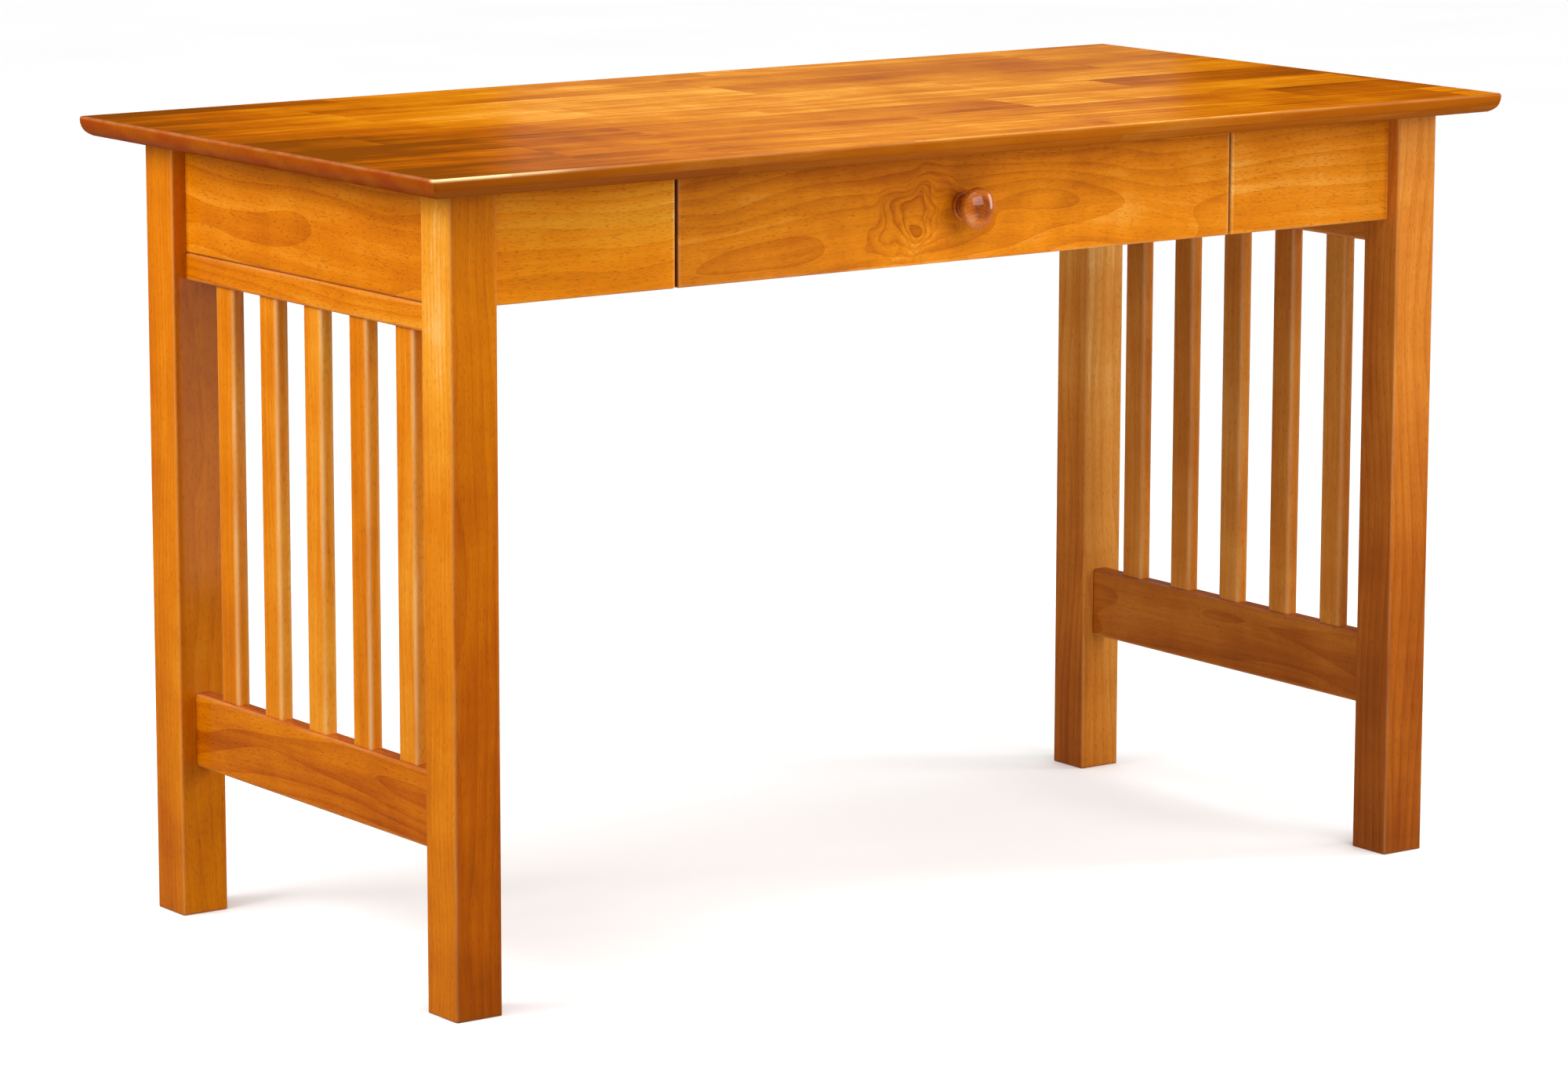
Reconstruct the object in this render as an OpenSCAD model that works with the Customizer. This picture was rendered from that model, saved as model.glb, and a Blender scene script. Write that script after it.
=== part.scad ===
// Mission desk: slatted end frames, apron rails, one flush drawer on roller slides.
// Millimetres. Origin on the floor under the middle of the desk, +X to the right as seen
// from the front, the front faces -Y, +Z up. Everything is drawn for the left half or the
// front left corner and mirrored.

/* [Top] */
// Length of the top, left to right
top_l = 1219; // [1100:1:1600]
// Width of the top, front to back
top_w = 610; // [560:1:760]
// Thickness of the top
top_t = 18; // [16:0.5:26]
// Height of the top's upper face above the floor
desk_h = 749; // [700:1:800]
// How far the top stands out past the legs at the ends
over_side = 44.5; // [25:0.5:70]
// How far the top stands out past the legs at the front and the back
over_front = 44.5; // [25:0.5:60]
// Radius of the arris round the upper face
top_arris = 2.5; // [1:0.5:4]
// How far the rounded under-edge draws in
under_in = 10; // [6:0.5:12]
// Plan radius of the top's corners
top_corner = 4; // [2:0.5:6]

/* [Legs] */
// Side of the square leg
leg_w = 48; // [44:0.5:60]
// Radius of the leg's arrises
leg_arris = 2.5; // [1:0.5:4]

/* [Aprons] */
// Height of the aprons and front panels
apron_h = 104; // [98:1:125]
// Thickness of the aprons and front panels
apron_t = 18; // [16:0.5:22]
// Setback of the side aprons behind the legs' outer faces
inset_side = 14.5; // [10:0.5:18]
// Setback of the front panels, drawer face and back apron
inset_front = 15.5; // [10:0.5:18]
// Radius of the aprons' lower arrises
apron_arris = 2; // [1:0.5:4]
// Width of the drawer opening between the front panels
opening_w = 640; // [480:1:760]

/* [End frames] */
// Height of the upper rail
upper_h = 25.5; // [20:0.5:40]
// Thickness of the upper rail
upper_t = 24; // [18:0.5:26]
// Height of the lower rail
lower_h = 70; // [50:1:90]
// Thickness of the lower rail
lower_t = 19; // [16:0.5:24]
// Height of the lower rail's underside above the floor
lower_z = 142; // [80:1:220]
// Distance from the legs' outer faces to the middle of rails and slats
rail_mid = 26; // [24:0.5:28]
// Radius of the rails' arrises
rail_arris = 3; // [1:0.5:5]
// Width of a slat
slat_w = 30.5; // [24:0.5:36]
// Thickness of a slat
slat_t = 14; // [10:0.5:16]
// Clear gap between a leg and the slat next to it
slat_end = 43.5; // [34:0.5:60]
// Radius of the slats' arrises
slat_arris = 4; // [2:0.5:4.5]

/* [Joinery] */
// Thickness of the tenons of rails and aprons
tenon_t = 9; // [7:0.5:10]
// Length of the tenons of rails and aprons
tenon_l = 16; // [12:0.5:19]
// Height of the tenons of aprons and front panels
apron_tenon_h = 60; // [40:1:62]
// Drop from the tops of the legs to the apron tenons
tenon_drop = 30; // [28:0.5:34]
// Shoulder above and below an upper rail's tenon
rail_shoulder = 5; // [3:0.5:7]
// Width of a slat's tenon
slat_tenon_w = 20; // [14:0.5:22]
// Thickness of a slat's tenon
slat_tenon_t = 7; // [5:0.5:8]
// Length of a slat's tenon
slat_tenon_l = 10; // [6:0.5:14]
// Height of the corner blocks
block_h = 40; // [30:1:50]
// Reach of the corner blocks past the legs
block_reach = 45; // [35:1:60]
// Distance of a corner block's upright screw from the side apron
block_screw_in = 10; // [8:0.5:12]
// Thickness of the drawer bearers
bearer_t = 18; // [15:0.5:22]
// Height of the bearers' lower edges above the aprons' lower edges
bearer_up = 6; // [2:0.5:7]
// Diameter of the bearers' dowels
dowel_d = 8; // [6:0.5:10]
// Length of the bearers' dowels
dowel_l = 30; // [24:1:36]
// Depth of a dowel in the apron or panel
dowel_in = 10; // [8:0.5:13]
// Height of the lower dowels above the bearers' lower edges
dowel_up = 26; // [20:0.5:32]
// Distance from a lower dowel to the upper one
dowel_pitch = 40; // [20:0.5:42]

/* [Drawer] */
// Gap at each end of the drawer face and above it
face_gap = 2.5; // [1.5:0.25:4]
// Thickness of the drawer face
face_t = 18; // [15:0.5:22]
// Radius of the drawer face's arrises
face_arris = 2; // [1:0.5:4]
// Height of the drawer box
box_h = 78; // [72:1:84]
// Height of the drawer box above the aprons' lower edges
box_up = 11; // [8:0.5:14]
// Length of the drawer box and its slides
box_l = 400; // [360:1:430]
// Thickness of the box's sides, front and back
box_t = 12; // [10:0.5:14]
// Thickness of the drawer bottom
bottom_t = 5; // [4:0.5:6]
// Height of the bottom above the box's lower edge
bottom_up = 10; // [10:0.5:12]
// Depth of the groove that holds the bottom
groove_d = 6; // [4:0.5:7]
// Width of a dovetail pin at its narrow end
pin_w = 6; // [4:0.5:8]
// Slope of the dovetails in degrees
tail_slope = 10; // [6:1:14]
// Distance from the box's edges to the middle of the outer pins
pin_edge = 2; // [1:0.5:3]
// Distance of the face screws from the sides of the box
face_screw_side = 85; // [20:1:120]
// Height of the lower face screws above the box's lower edge
face_screw_up = 28; // [24:0.5:32]
// Distance from a lower face screw to the upper one
face_screw_pitch = 32; // [20:0.5:34]

/* [Knob] */
// Diameter of the knob's head
knob_d = 38; // [34:0.5:42]
// How far the knob stands out from the drawer face
knob_l = 30; // [28:0.5:38]
// Diameter of the knob's foot
knob_foot_d = 27; // [24:0.5:32]
// Diameter of the ring next to the foot
knob_ring_d = 23; // [20:0.5:24]
// Diameter of the knob's neck
knob_neck_d = 15; // [12:0.5:18]
// Height of the foot, and of the ring next to it
knob_step = 4; // [3:0.25:4.5]
// Radius of the rim of the knob's head
knob_rim = 5; // [4:0.25:6]
// Radius of the domed front of the knob's head
knob_dome = 34; // [30:1:60]
// Depth of the screw hole in the knob
knob_hole = 16; // [12:0.5:18]

/* [Slides] */
// Room for the slide between drawer box and bearer
slide_gap = 12.7; // [12.5:0.1:13.5]
// Thickness of the slides' steel
steel_t = 1.2; // [1:0.1:1.4]
// Height of the fixed channel
channel_h = 18; // [17:0.5:20]
// Width of the channel's flanges, web included
channel_w = 9; // [8:0.25:9.5]
// Width of the flange under the drawer side
foot_w = 12; // [10:0.5:14]
// How far the drawer pulls out
travel = 300; // [200:5:305]
// Width of a roller's tread
roller_w = 8; // [7:0.1:8.2]
// Radius of the fixed roller at the front
front_roller_r = 8; // [7:0.1:8.5]
// Radius of a roller's pin
pin_r = 2.5; // [2:0.1:2.8]
// Radius of the head of a roller's pin
pin_head_r = 4; // [3.6:0.1:4.5]
// Thickness of the head of a roller's pin
pin_head_t = 1; // [0.6:0.1:1]
// Distance from the channel's front end to its roller's pin
roller_end = 13; // [11:0.5:16]
// Distance from the ends of the slides to their outer screws
screw_end = 40; // [30:1:60]
// Setback of the channel's front end behind the front panels
channel_set = 2; // [1:0.5:4]

/* [Fixings] */
// Diameter of the bolts through the corner blocks
bolt_d = 6; // [5:0.5:7]
// Length of the bolts through the corner blocks
bolt_l = 55; // [45:1:60]
// Size across the flats of the bolt heads
bolt_af = 10; // [8:0.5:12]
// Thickness of the bolt heads
bolt_head_t = 4; // [3:0.5:6]
// Thickness of the washers under the bolt heads
washer_t = 1.5; // [1:0.25:2]
// Diameter of the washers
washer_d = 16; // [13:0.5:18]
// Diameter of the wood screws
screw_d = 4; // [3:0.25:4.5]
// Diameter of the wood screws' heads
screw_head_d = 8; // [7:0.25:9]
// Thickness of the wood screws' heads
screw_head_t = 2.4; // [1.6:0.1:3]
// Bite of a wood screw in the piece that it holds
screw_bite = 12; // [8:0.5:13]
// Diameter of the slides' screws
flat_d = 3; // [2.5:0.25:3.5]
// Diameter of the slides' screws' flat heads
flat_head_d = 6.5; // [5.5:0.25:7]
// Thickness of the slides' screws' flat heads
flat_head_t = 0.9; // [0.6:0.1:0.9]
// Bite of the slides' screws
flat_bite = 7; // [5:0.5:8]
// Thickness of the top clips' steel
clip_t = 1.5; // [1.2:0.1:2]
// Width of a top clip
clip_w = 18; // [14:1:24]
// Reach of a top clip under the top
clip_reach = 22; // [18:1:28]
// Distance from an apron's face to the rise of a clip
clip_rise = 4; // [3:0.5:6]
// Distance of the side clips from the middle of the side
clip_side_y = 90; // [60:1:150]
// Distance of the back clips from the middle of the back
clip_back_x = 180; // [80:1:260]
// Drop from the tops of the aprons to the kerf that holds the clips
kerf_drop = 12; // [10:0.5:16]
// Depth of the kerf
kerf_d = 8; // [6:0.5:9]
// Height of the kerf
kerf_h = 3; // [2.5:0.25:4]

/* [Clearances] */
// Play round a tenon in its mortise
joint_gap = 0.15; // [0.1:0.05:0.3]
// Room past the end of a tenon, dowel, screw or bolt
end_gap = 1; // [0.5:0.25:1.5]
// Radial play of a screw, bolt or dowel in its hole
hole_gap = 0.1; // [0.05:0.05:0.2]
// Play of the drawer bottom in its groove
groove_gap = 0.2; // [0.1:0.05:0.4]
// Radial play of a roller on its pin
bore_gap = 0.05; // [0.02:0.01:0.08]
// Air between a roller and the steel that it runs on
roller_air = 0.3; // [0.3:0.05:0.5]
// Air beside a roller, and between the slide's flanges
side_air = 0.8; // [0.6:0.1:1]
// Air between the runner's flange and the channel's web
flange_air = 2; // [1:0.25:4]
// Radial air round a pin's head in the roller's recess
head_air = 0.5; // [0.3:0.1:1]

/* [Hidden] */
$fn = 64;

honey = [0.80, 0.47, 0.16];
amber = [0.70, 0.37, 0.12];
birch = [0.84, 0.68, 0.45];
cherry = [0.45, 0.20, 0.07];
zinc = [0.70, 0.71, 0.72];
enamel = [0.88, 0.87, 0.83];
nylon = [0.93, 0.93, 0.90];
// How far a cut runs past the surface that it opens
over = 1;

// Planes of the frame: outer and inner faces of the legs, then the pieces between them.
leg_x = -(top_l / 2 - over_side);
leg_y = -(top_w / 2 - over_front);
in_x = leg_x + leg_w;
in_y = leg_y + leg_w;
frame_top = desk_h - top_t;
apron_z = frame_top - apron_h;
side_out = leg_x + inset_side;
side_in = side_out + apron_t;
face_y = leg_y + inset_front;
panel_back = face_y + apron_t;
rail_x = leg_x + rail_mid;
upper_z = apron_z - upper_h;
lower_top = lower_z + lower_h;
slat_n = 5;
slat_pitch = (-2 * in_y - 2 * slat_end - slat_w) / (slat_n - 1);
slat_ys = [for (i = [0 : slat_n - 1]) (i - (slat_n - 1) / 2) * slat_pitch];

// Joinery: heights of the tenons, the corner blocks' long face and the bearers.
tenon_top = frame_top - tenon_drop;
tenon_z = tenon_top - apron_tenon_h;
open_x = -opening_w / 2;
bearer_x = open_x - bearer_t;
bearer_z = apron_z + bearer_up;
dowel_zs = [bearer_z + dowel_up, bearer_z + dowel_up + dowel_pitch];
block_z = frame_top - block_h;
block_end_y = in_y + block_reach;
block_end_x = side_in + block_end_y - panel_back;
block_depth = (side_in + block_end_y - in_x - in_y) / sqrt(2);
block_screw = [side_in + block_screw_in, (in_y + block_end_y - block_screw_in) / 2];
bolt_in = bolt_l - block_depth - washer_t;
clip_front_x = (block_end_x + bearer_x) / 2;
clip_hole = clip_rise + clip_t + (clip_reach - clip_t) / 2;

// The drawer: face, box, bottom and dovetails.
face_w = opening_w - 2 * face_gap;
face_h = apron_h - face_gap;
box_x = open_x + slide_gap;
box_in = box_x + box_t;
box_y = face_y + face_t;
box_back = box_y + box_l;
box_z = apron_z + box_up;
bottom_z = box_z + bottom_up;
back_z = bottom_z + bottom_t + groove_gap;
tail_n = 3;
tail_pitch = (box_h - 2 * pin_edge) / tail_n;
tail_zs = [for (i = [0 : tail_n]) box_z + pin_edge + i * tail_pitch];
pin_flare = box_t * tan(tail_slope);
knob_z = apron_z + face_h / 2;
face_screw_x = -box_in - face_screw_side;
face_screw_zs = [box_z + face_screw_up, box_z + face_screw_up + face_screw_pitch];

// The slides: a fixed channel on the bearer, a moving runner on the drawer side.
channel_y = panel_back + channel_set;
channel_back = channel_y + box_l;
web_in = open_x + steel_t;
runner_out = box_x - steel_t;
flange_z = box_z + channel_h + side_air;
flange_x = web_in + flange_air;
rear_roller_r = channel_h / 2 - steel_t - roller_air;
front_pin = [channel_y + roller_end, flange_z - roller_air - front_roller_r];
rear_pin = [channel_back - steel_t - roller_air - rear_roller_r, box_z + channel_h / 2];
stop_y = rear_pin[0] - travel - rear_roller_r - roller_air - steel_t;
recess = pin_head_t + 0.2;
slide_screws = [screw_end, box_l / 2, box_l - screw_end];

// Draws its children on the left or, mirrored, on the right.
module on_side(side) mirror([side > 0 ? 1 : 0, 0, 0]) children();

// Draws its children at the front left corner or, mirrored, at another corner.
module at_corner(side, end) on_side(side) mirror([0, end > 0 ? 1 : 0, 0]) children();

// Draws its children at all four corners.
module at_corners() for (side = [-1, 1], end = [-1, 1]) at_corner(side, end) children();

// Draws its children on both sides.
module both_sides() for (side = [-1, 1]) on_side(side) children();

// Extrudes a section drawn in X and Z from y0 to y1.
module along_y(y0, y1) translate([0, y1, 0]) rotate([90, 0, 0]) linear_extrude(y1 - y0) children();

// Extrudes a section drawn in Y and Z from x0 to x1.
module along_x(x0, x1) translate([x0, 0, 0]) rotate([90, 0, 90]) linear_extrude(x1 - x0) children();

// Turns the upright axis to point along X.
module to_x() rotate([0, 90, 0]) children();

// Turns the upright axis to point along Y.
module to_y() rotate([-90, 0, 0]) children();

// A block from corner a to corner b.
module block(a, b) translate(a) cube(b - a);

// A rectangle from corner a to corner b with four rounded corners.
module rounded(a, b, r) {
  translate([a[0] + r, a[1]]) square([b[0] - a[0] - 2 * r, b[1] - a[1]]);
  translate([a[0], a[1] + r]) square([b[0] - a[0], b[1] - a[1] - 2 * r]);
  for (x = [a[0] + r, b[0] - r], y = [a[1] + r, b[1] - r]) translate([x, y]) circle(r);
}

// A rectangle from corner a to corner b with its two lower corners rounded.
module lower_rounded(a, b, r) {
  translate([a[0] + r, a[1]]) square([b[0] - a[0] - 2 * r, b[1] - a[1]]);
  translate([a[0], a[1] + r]) square([b[0] - a[0], b[1] - a[1] - r]);
  for (x = [a[0] + r, b[0] - r]) translate([x, a[1] + r]) circle(r);
}

// Section of the top across a width: rounded arris above, drawn-in arc below.
module top_section(width) {
  arc_z = top_t - top_arris;
  arc_r = (arc_z * arc_z + under_in * under_in) / (2 * under_in);
  difference() {
    translate([-width / 2, 0]) square([width, top_t]);
    for (s = [0, 1]) mirror([s, 0]) {
      difference() {
        translate([width / 2 - under_in, -over]) square([under_in + over, arc_z + over]);
        translate([width / 2 - arc_r, arc_z]) circle(arc_r);
      }
      difference() {
        translate([width / 2 - top_arris, arc_z]) square(top_arris + over);
        translate([width / 2 - top_arris, arc_z]) circle(top_arris);
      }
    }
  }
}

// A round hole along Z with its end below the opening.
module hole(depth, d) translate([0, 0, -over]) cylinder(h = depth + over, d = d + 2 * hole_gap);

// A round-headed wood screw: seat of the head at the origin, point towards +Z.
module wood_screw(length) {
  cylinder(h = length - screw_d, d = screw_d);
  translate([0, 0, length - screw_d]) cylinder(h = screw_d, d1 = screw_d, d2 = 0.6);
  difference() {
    rotate_extrude() mirror([0, 1]) {
      square([screw_head_d / 2, screw_head_t / 2]);
      square([screw_head_d / 2 - screw_head_t / 2, screw_head_t]);
      intersection() {
        translate([screw_head_d / 2 - screw_head_t / 2, screw_head_t / 2]) circle(screw_head_t / 2);
        square([screw_head_d / 2, screw_head_t]);
      }
    }
    translate([0, 0, -screw_head_t]) cube([screw_head_d + over, 1, screw_head_t], center = true);
  }
}

// A thin-headed screw for the slides, drawn like the wood screw.
module flat_screw(length) {
  cylinder(h = length - flat_d, d = flat_d);
  translate([0, 0, length - flat_d]) cylinder(h = flat_d, d1 = flat_d, d2 = 0.6);
  translate([0, 0, -flat_head_t]) cylinder(h = flat_head_t, d = flat_head_d);
}

// The top, with blind holes for the screws that come up into it.
module desk_top() color(honey) difference() {
  intersection() {
    translate([0, 0, frame_top]) along_x(-top_l / 2, top_l / 2) top_section(top_w);
    translate([0, 0, frame_top]) along_y(-top_w / 2, top_w / 2) top_section(top_l);
    translate([0, 0, frame_top - over]) linear_extrude(top_t + 2 * over)
      rounded([-top_l / 2, -top_w / 2], [top_l / 2, top_w / 2], top_corner);
  }
  at_block_screws() translate([0, 0, frame_top]) hole(screw_bite + end_gap, screw_d);
  at_clips() translate([clip_hole, 0, 0]) hole(screw_bite + end_gap, screw_d);
}

// Places of the upright screws through the corner blocks.
module at_block_screws() at_corners() translate([block_screw[0], block_screw[1], 0]) children();

// Places of the top clips: on an apron's inner face at its top, +X pointing inwards.
module at_clips() translate([0, 0, frame_top]) {
  both_sides() for (y = [-clip_side_y, clip_side_y]) translate([side_in, y, 0]) children();
  for (x = [-clip_front_x, clip_front_x]) translate([x, panel_back, 0]) rotate(90) children();
  for (x = [-clip_back_x, clip_back_x]) translate([x, -panel_back, 0]) rotate(-90) children();
}

// Frame of a corner bolt: origin on a leg's inner corner, +Z out through the corner block.
module on_bolt_line() translate([in_x, in_y, frame_top - block_h / 2]) rotate(45) to_x() children();

// A tenon into the front leg from an apron or rail of an end frame; grow makes it a mortise.
module side_tenon(x, z0, z1, grow, deeper)
  block([x - tenon_t / 2 - grow, in_y - tenon_l - deeper, z0 - grow],
        [x + tenon_t / 2 + grow, in_y + over, z1 + grow]);
module apron_tenon(grow = 0, deeper = 0)
  side_tenon(side_in - apron_t / 2, tenon_z, tenon_top, grow, deeper);
module upper_tenon(grow = 0, deeper = 0)
  side_tenon(rail_x, upper_z + rail_shoulder, apron_z - rail_shoulder, grow, deeper);
module lower_tenon(grow = 0, deeper = 0)
  side_tenon(rail_x, lower_z + 2 * rail_shoulder, lower_top - 2 * rail_shoulder, grow, deeper);

// A tenon into the leg beside it from a front panel or the back apron; grow makes it a mortise.
module front_tenon(grow = 0, deeper = 0)
  block([in_x - tenon_l - deeper, panel_back - apron_t / 2 - tenon_t / 2 - grow, tenon_z - grow],
        [in_x + over, panel_back - apron_t / 2 + tenon_t / 2 + grow, tenon_top + grow]);

// A leg with its four mortises and the bolt hole in its inner corner.
module leg(side, end) color(honey) at_corner(side, end) difference() {
  linear_extrude(frame_top) rounded([leg_x, leg_y], [in_x, in_y], leg_arris);
  apron_tenon(joint_gap, end_gap);
  upper_tenon(joint_gap, end_gap);
  lower_tenon(joint_gap, end_gap);
  front_tenon(joint_gap, end_gap);
  on_bolt_line() translate([0, 0, -bolt_in - end_gap])
    cylinder(h = bolt_in + end_gap + leg_w, d = bolt_d + 2 * hole_gap);
}
module leg_front_left() leg(-1, -1);
module leg_front_right() leg(1, -1);
module leg_back_left() leg(-1, 1);
module leg_back_right() leg(1, 1);

// The kerf along the inner face of an apron drawn with that face at x = 0 and +X inwards.
module kerf(y0, y1)
  block([-kerf_d, y0, frame_top - kerf_drop - kerf_h], [over, y1, frame_top - kerf_drop]);

// A side apron between two legs.
module side_apron(side) color(honey) on_side(side) {
  difference() {
    along_y(in_y, -in_y) lower_rounded([side_out, apron_z], [side_in, frame_top], apron_arris);
    translate([side_in, 0, 0]) kerf(in_y - over, -in_y + over);
  }
  for (s = [0, 1]) mirror([0, s, 0]) apron_tenon();
}
module side_apron_left() side_apron(-1);
module side_apron_right() side_apron(1);

// The two dowel holes of a bearer's front end, drawn in the bearer and the panel alike.
module dowel_holes() for (z = dowel_zs) translate([bearer_x + bearer_t / 2, panel_back, z])
  translate([0, -dowel_in - end_gap, 0]) to_y()
    cylinder(h = dowel_l + 2 * end_gap, d = dowel_d + 2 * hole_gap);

// The back apron between the back legs.
module back_apron() color(honey) mirror([0, 1, 0]) {
  difference() {
    along_x(in_x, -in_x) lower_rounded([face_y, apron_z], [panel_back, frame_top], apron_arris);
    translate([0, panel_back, 0]) rotate(90) kerf(in_x - over, -in_x + over);
    both_sides() dowel_holes();
  }
  both_sides() front_tenon();
}

// A fixed panel of the front, rounded at its open end beside the drawer.
module front_panel(side) color(honey) on_side(side) {
  difference() {
    intersection() {
      along_x(in_x, open_x) lower_rounded([face_y, apron_z], [panel_back, frame_top], apron_arris);
      translate([0, 0, apron_z - over]) linear_extrude(apron_h + 2 * over)
        rounded([in_x - 2 * apron_arris, face_y], [open_x, panel_back], apron_arris);
    }
    translate([0, panel_back, 0]) rotate(90) kerf(-open_x - over, -in_x + over);
    dowel_holes();
  }
  front_tenon();
}
module front_panel_left() front_panel(-1);
module front_panel_right() front_panel(1);

// Tenon of a slat into a rail, reaching from z0 to z1; grow makes it a mortise.
module slat_tenon(y, z0, z1, grow = 0)
  block([rail_x - slat_tenon_t / 2 - grow, y - slat_tenon_w / 2 - grow, z0],
        [rail_x + slat_tenon_t / 2 + grow, y + slat_tenon_w / 2 + grow, z1]);

// The rail right under a side apron.
module upper_rail(side) color(honey) on_side(side) {
  difference() {
    along_y(in_y, -in_y)
      lower_rounded([rail_x - upper_t / 2, upper_z], [rail_x + upper_t / 2, apron_z], rail_arris);
    for (y = slat_ys) slat_tenon(y, upper_z - over, upper_z + slat_tenon_l + end_gap, joint_gap);
  }
  for (s = [0, 1]) mirror([0, s, 0]) upper_tenon();
}
module upper_rail_left() upper_rail(-1);
module upper_rail_right() upper_rail(1);

// The broad rail low down in an end frame.
module lower_rail(side) color(honey) on_side(side) {
  difference() {
    along_y(in_y, -in_y)
      rounded([rail_x - lower_t / 2, lower_z], [rail_x + lower_t / 2, lower_top], rail_arris);
    for (y = slat_ys) slat_tenon(y, lower_top - slat_tenon_l - end_gap, lower_top + over, joint_gap);
  }
  for (s = [0, 1]) mirror([0, s, 0]) lower_tenon();
}
module lower_rail_left() lower_rail(-1);
module lower_rail_right() lower_rail(1);

// A slat between the rails, numbered from the front.
module slat(side, i) color(amber) on_side(side) {
  translate([0, 0, lower_top]) linear_extrude(upper_z - lower_top)
    rounded([rail_x - slat_t / 2, slat_ys[i] - slat_w / 2],
            [rail_x + slat_t / 2, slat_ys[i] + slat_w / 2], slat_arris);
  slat_tenon(slat_ys[i], lower_top - slat_tenon_l, upper_z + slat_tenon_l);
}
module slat_left_1() slat(-1, 0);
module slat_left_2() slat(-1, 1);
module slat_left_3() slat(-1, 2);
module slat_left_4() slat(-1, 3);
module slat_left_5() slat(-1, 4);
module slat_right_1() slat(1, 0);
module slat_right_2() slat(1, 1);
module slat_right_3() slat(1, 2);
module slat_right_4() slat(1, 3);
module slat_right_5() slat(1, 4);

// A bearer from the front panel to the back apron; it carries a slide's channel.
module drawer_bearer(side) color(birch) on_side(side) difference() {
  block([bearer_x, panel_back, bearer_z], [open_x, -panel_back, frame_top]);
  for (s = [0, 1]) mirror([0, s, 0]) dowel_holes();
  at_channel_screws() hole(flat_bite + end_gap, flat_d);
}
module drawer_bearer_left() drawer_bearer(-1);
module drawer_bearer_right() drawer_bearer(1);

// The dowels that hold the bearers.
module bearer_dowels() color(birch) at_corners() for (z = dowel_zs)
  translate([bearer_x + bearer_t / 2, panel_back - dowel_in, z]) to_y() cylinder(h = dowel_l, d = dowel_d);

// A corner block behind a leg, drilled for its bolt and for the screw into the top.
module corner_block(side, end) color(birch) at_corner(side, end) difference() {
  translate([0, 0, block_z]) linear_extrude(block_h) polygon([
    [side_in, in_y], [side_in, block_end_y], [block_end_x, panel_back], [in_x, panel_back], [in_x, in_y]
  ]);
  on_bolt_line() translate([0, 0, -bolt_d])
    cylinder(h = block_depth + bolt_d + over, d = bolt_d + 2 * hole_gap);
  translate([block_screw[0], block_screw[1], block_z]) hole(block_h + over, screw_d);
}
module corner_block_front_left() corner_block(-1, -1);
module corner_block_front_right() corner_block(1, -1);
module corner_block_back_left() corner_block(-1, 1);
module corner_block_back_right() corner_block(1, 1);

// The hexagon-headed bolts that draw the corner blocks to the legs.
module corner_bolts() color(zinc) at_corners() on_bolt_line() {
  translate([0, 0, -bolt_in + bolt_d]) cylinder(h = bolt_l - bolt_d, d = bolt_d);
  translate([0, 0, -bolt_in]) cylinder(h = bolt_d, d1 = 1, d2 = bolt_d);
  translate([0, 0, block_depth + washer_t]) rotate(30)
    cylinder(h = bolt_head_t, d = bolt_af / cos(30), $fn = 6);
}

// The washers under the bolt heads.
module corner_washers() color(zinc) at_corners() on_bolt_line() translate([0, 0, block_depth])
  difference() {
    cylinder(h = washer_t, d = washer_d);
    hole(washer_t + over, bolt_d);
  }

// The upright screws through the corner blocks into the top.
module block_screws() color(zinc) at_block_screws() translate([0, 0, block_z])
  wood_screw(block_h + screw_bite);

// The stepped steel clips that hold the top down by the kerfs.
module top_clips() color(zinc) at_clips() difference() {
  translate([0, clip_w / 2, 0]) rotate([90, 0, 0]) linear_extrude(clip_w) {
    translate([1 - kerf_d, -kerf_drop - clip_t]) square([kerf_d - 1 + clip_rise + clip_t, clip_t]);
    translate([clip_rise, -kerf_drop - clip_t]) square([clip_t, kerf_drop + clip_t]);
    translate([clip_rise, -clip_t]) square([clip_reach, clip_t]);
  }
  translate([clip_hole, 0, -clip_t]) hole(clip_t + over, screw_d);
}

// The screws of the top clips.
module clip_screws() color(zinc) at_clips() translate([clip_hole, 0, -clip_t])
  wood_screw(screw_bite + clip_t);

// The drawer's face, all its front arrises rounded, between the two front panels.
module drawer_face() color(honey) difference() {
  intersection() {
    along_x(-face_w / 2, face_w / 2)
      rounded([face_y, apron_z], [box_y, apron_z + face_h], face_arris);
    translate([0, 0, apron_z - over]) linear_extrude(face_h + 2 * over)
      rounded([-face_w / 2, face_y], [face_w / 2, box_y], face_arris);
  }
  at_face_screws() translate([0, 0, box_t]) hole(screw_bite + end_gap, screw_d);
  translate([0, box_y + over, knob_z]) rotate([90, 0, 0])
    cylinder(h = face_t + 2 * over, d = screw_d + 2 * hole_gap);
}

// Places of the screws from the box's front into the face, pointing forwards.
module at_face_screws() for (x = [-face_screw_x, face_screw_x], z = face_screw_zs)
  translate([x, box_y + box_t, z]) rotate([90, 0, 0]) children();

// Dovetail pins across the thickness of a side, drawn at the front corner of the box.
module box_pins(from, grow = 0) for (i = [from : tail_n])
  along_x(box_x - (grow > 0 ? over : 0), box_in + (grow > 0 ? over : 0)) polygon([
    [box_y - grow, tail_zs[i] - pin_w / 2 - grow],
    [box_y + box_t + grow, tail_zs[i] - pin_w / 2 - pin_flare - grow],
    [box_y + box_t + grow, tail_zs[i] + pin_w / 2 + pin_flare + grow],
    [box_y - grow, tail_zs[i] + pin_w / 2 + grow]
  ]);

// Mirrors its children from the front of the box to its back.
module to_box_back() translate([0, box_y + box_back, 0]) mirror([0, 1, 0]) children();

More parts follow.
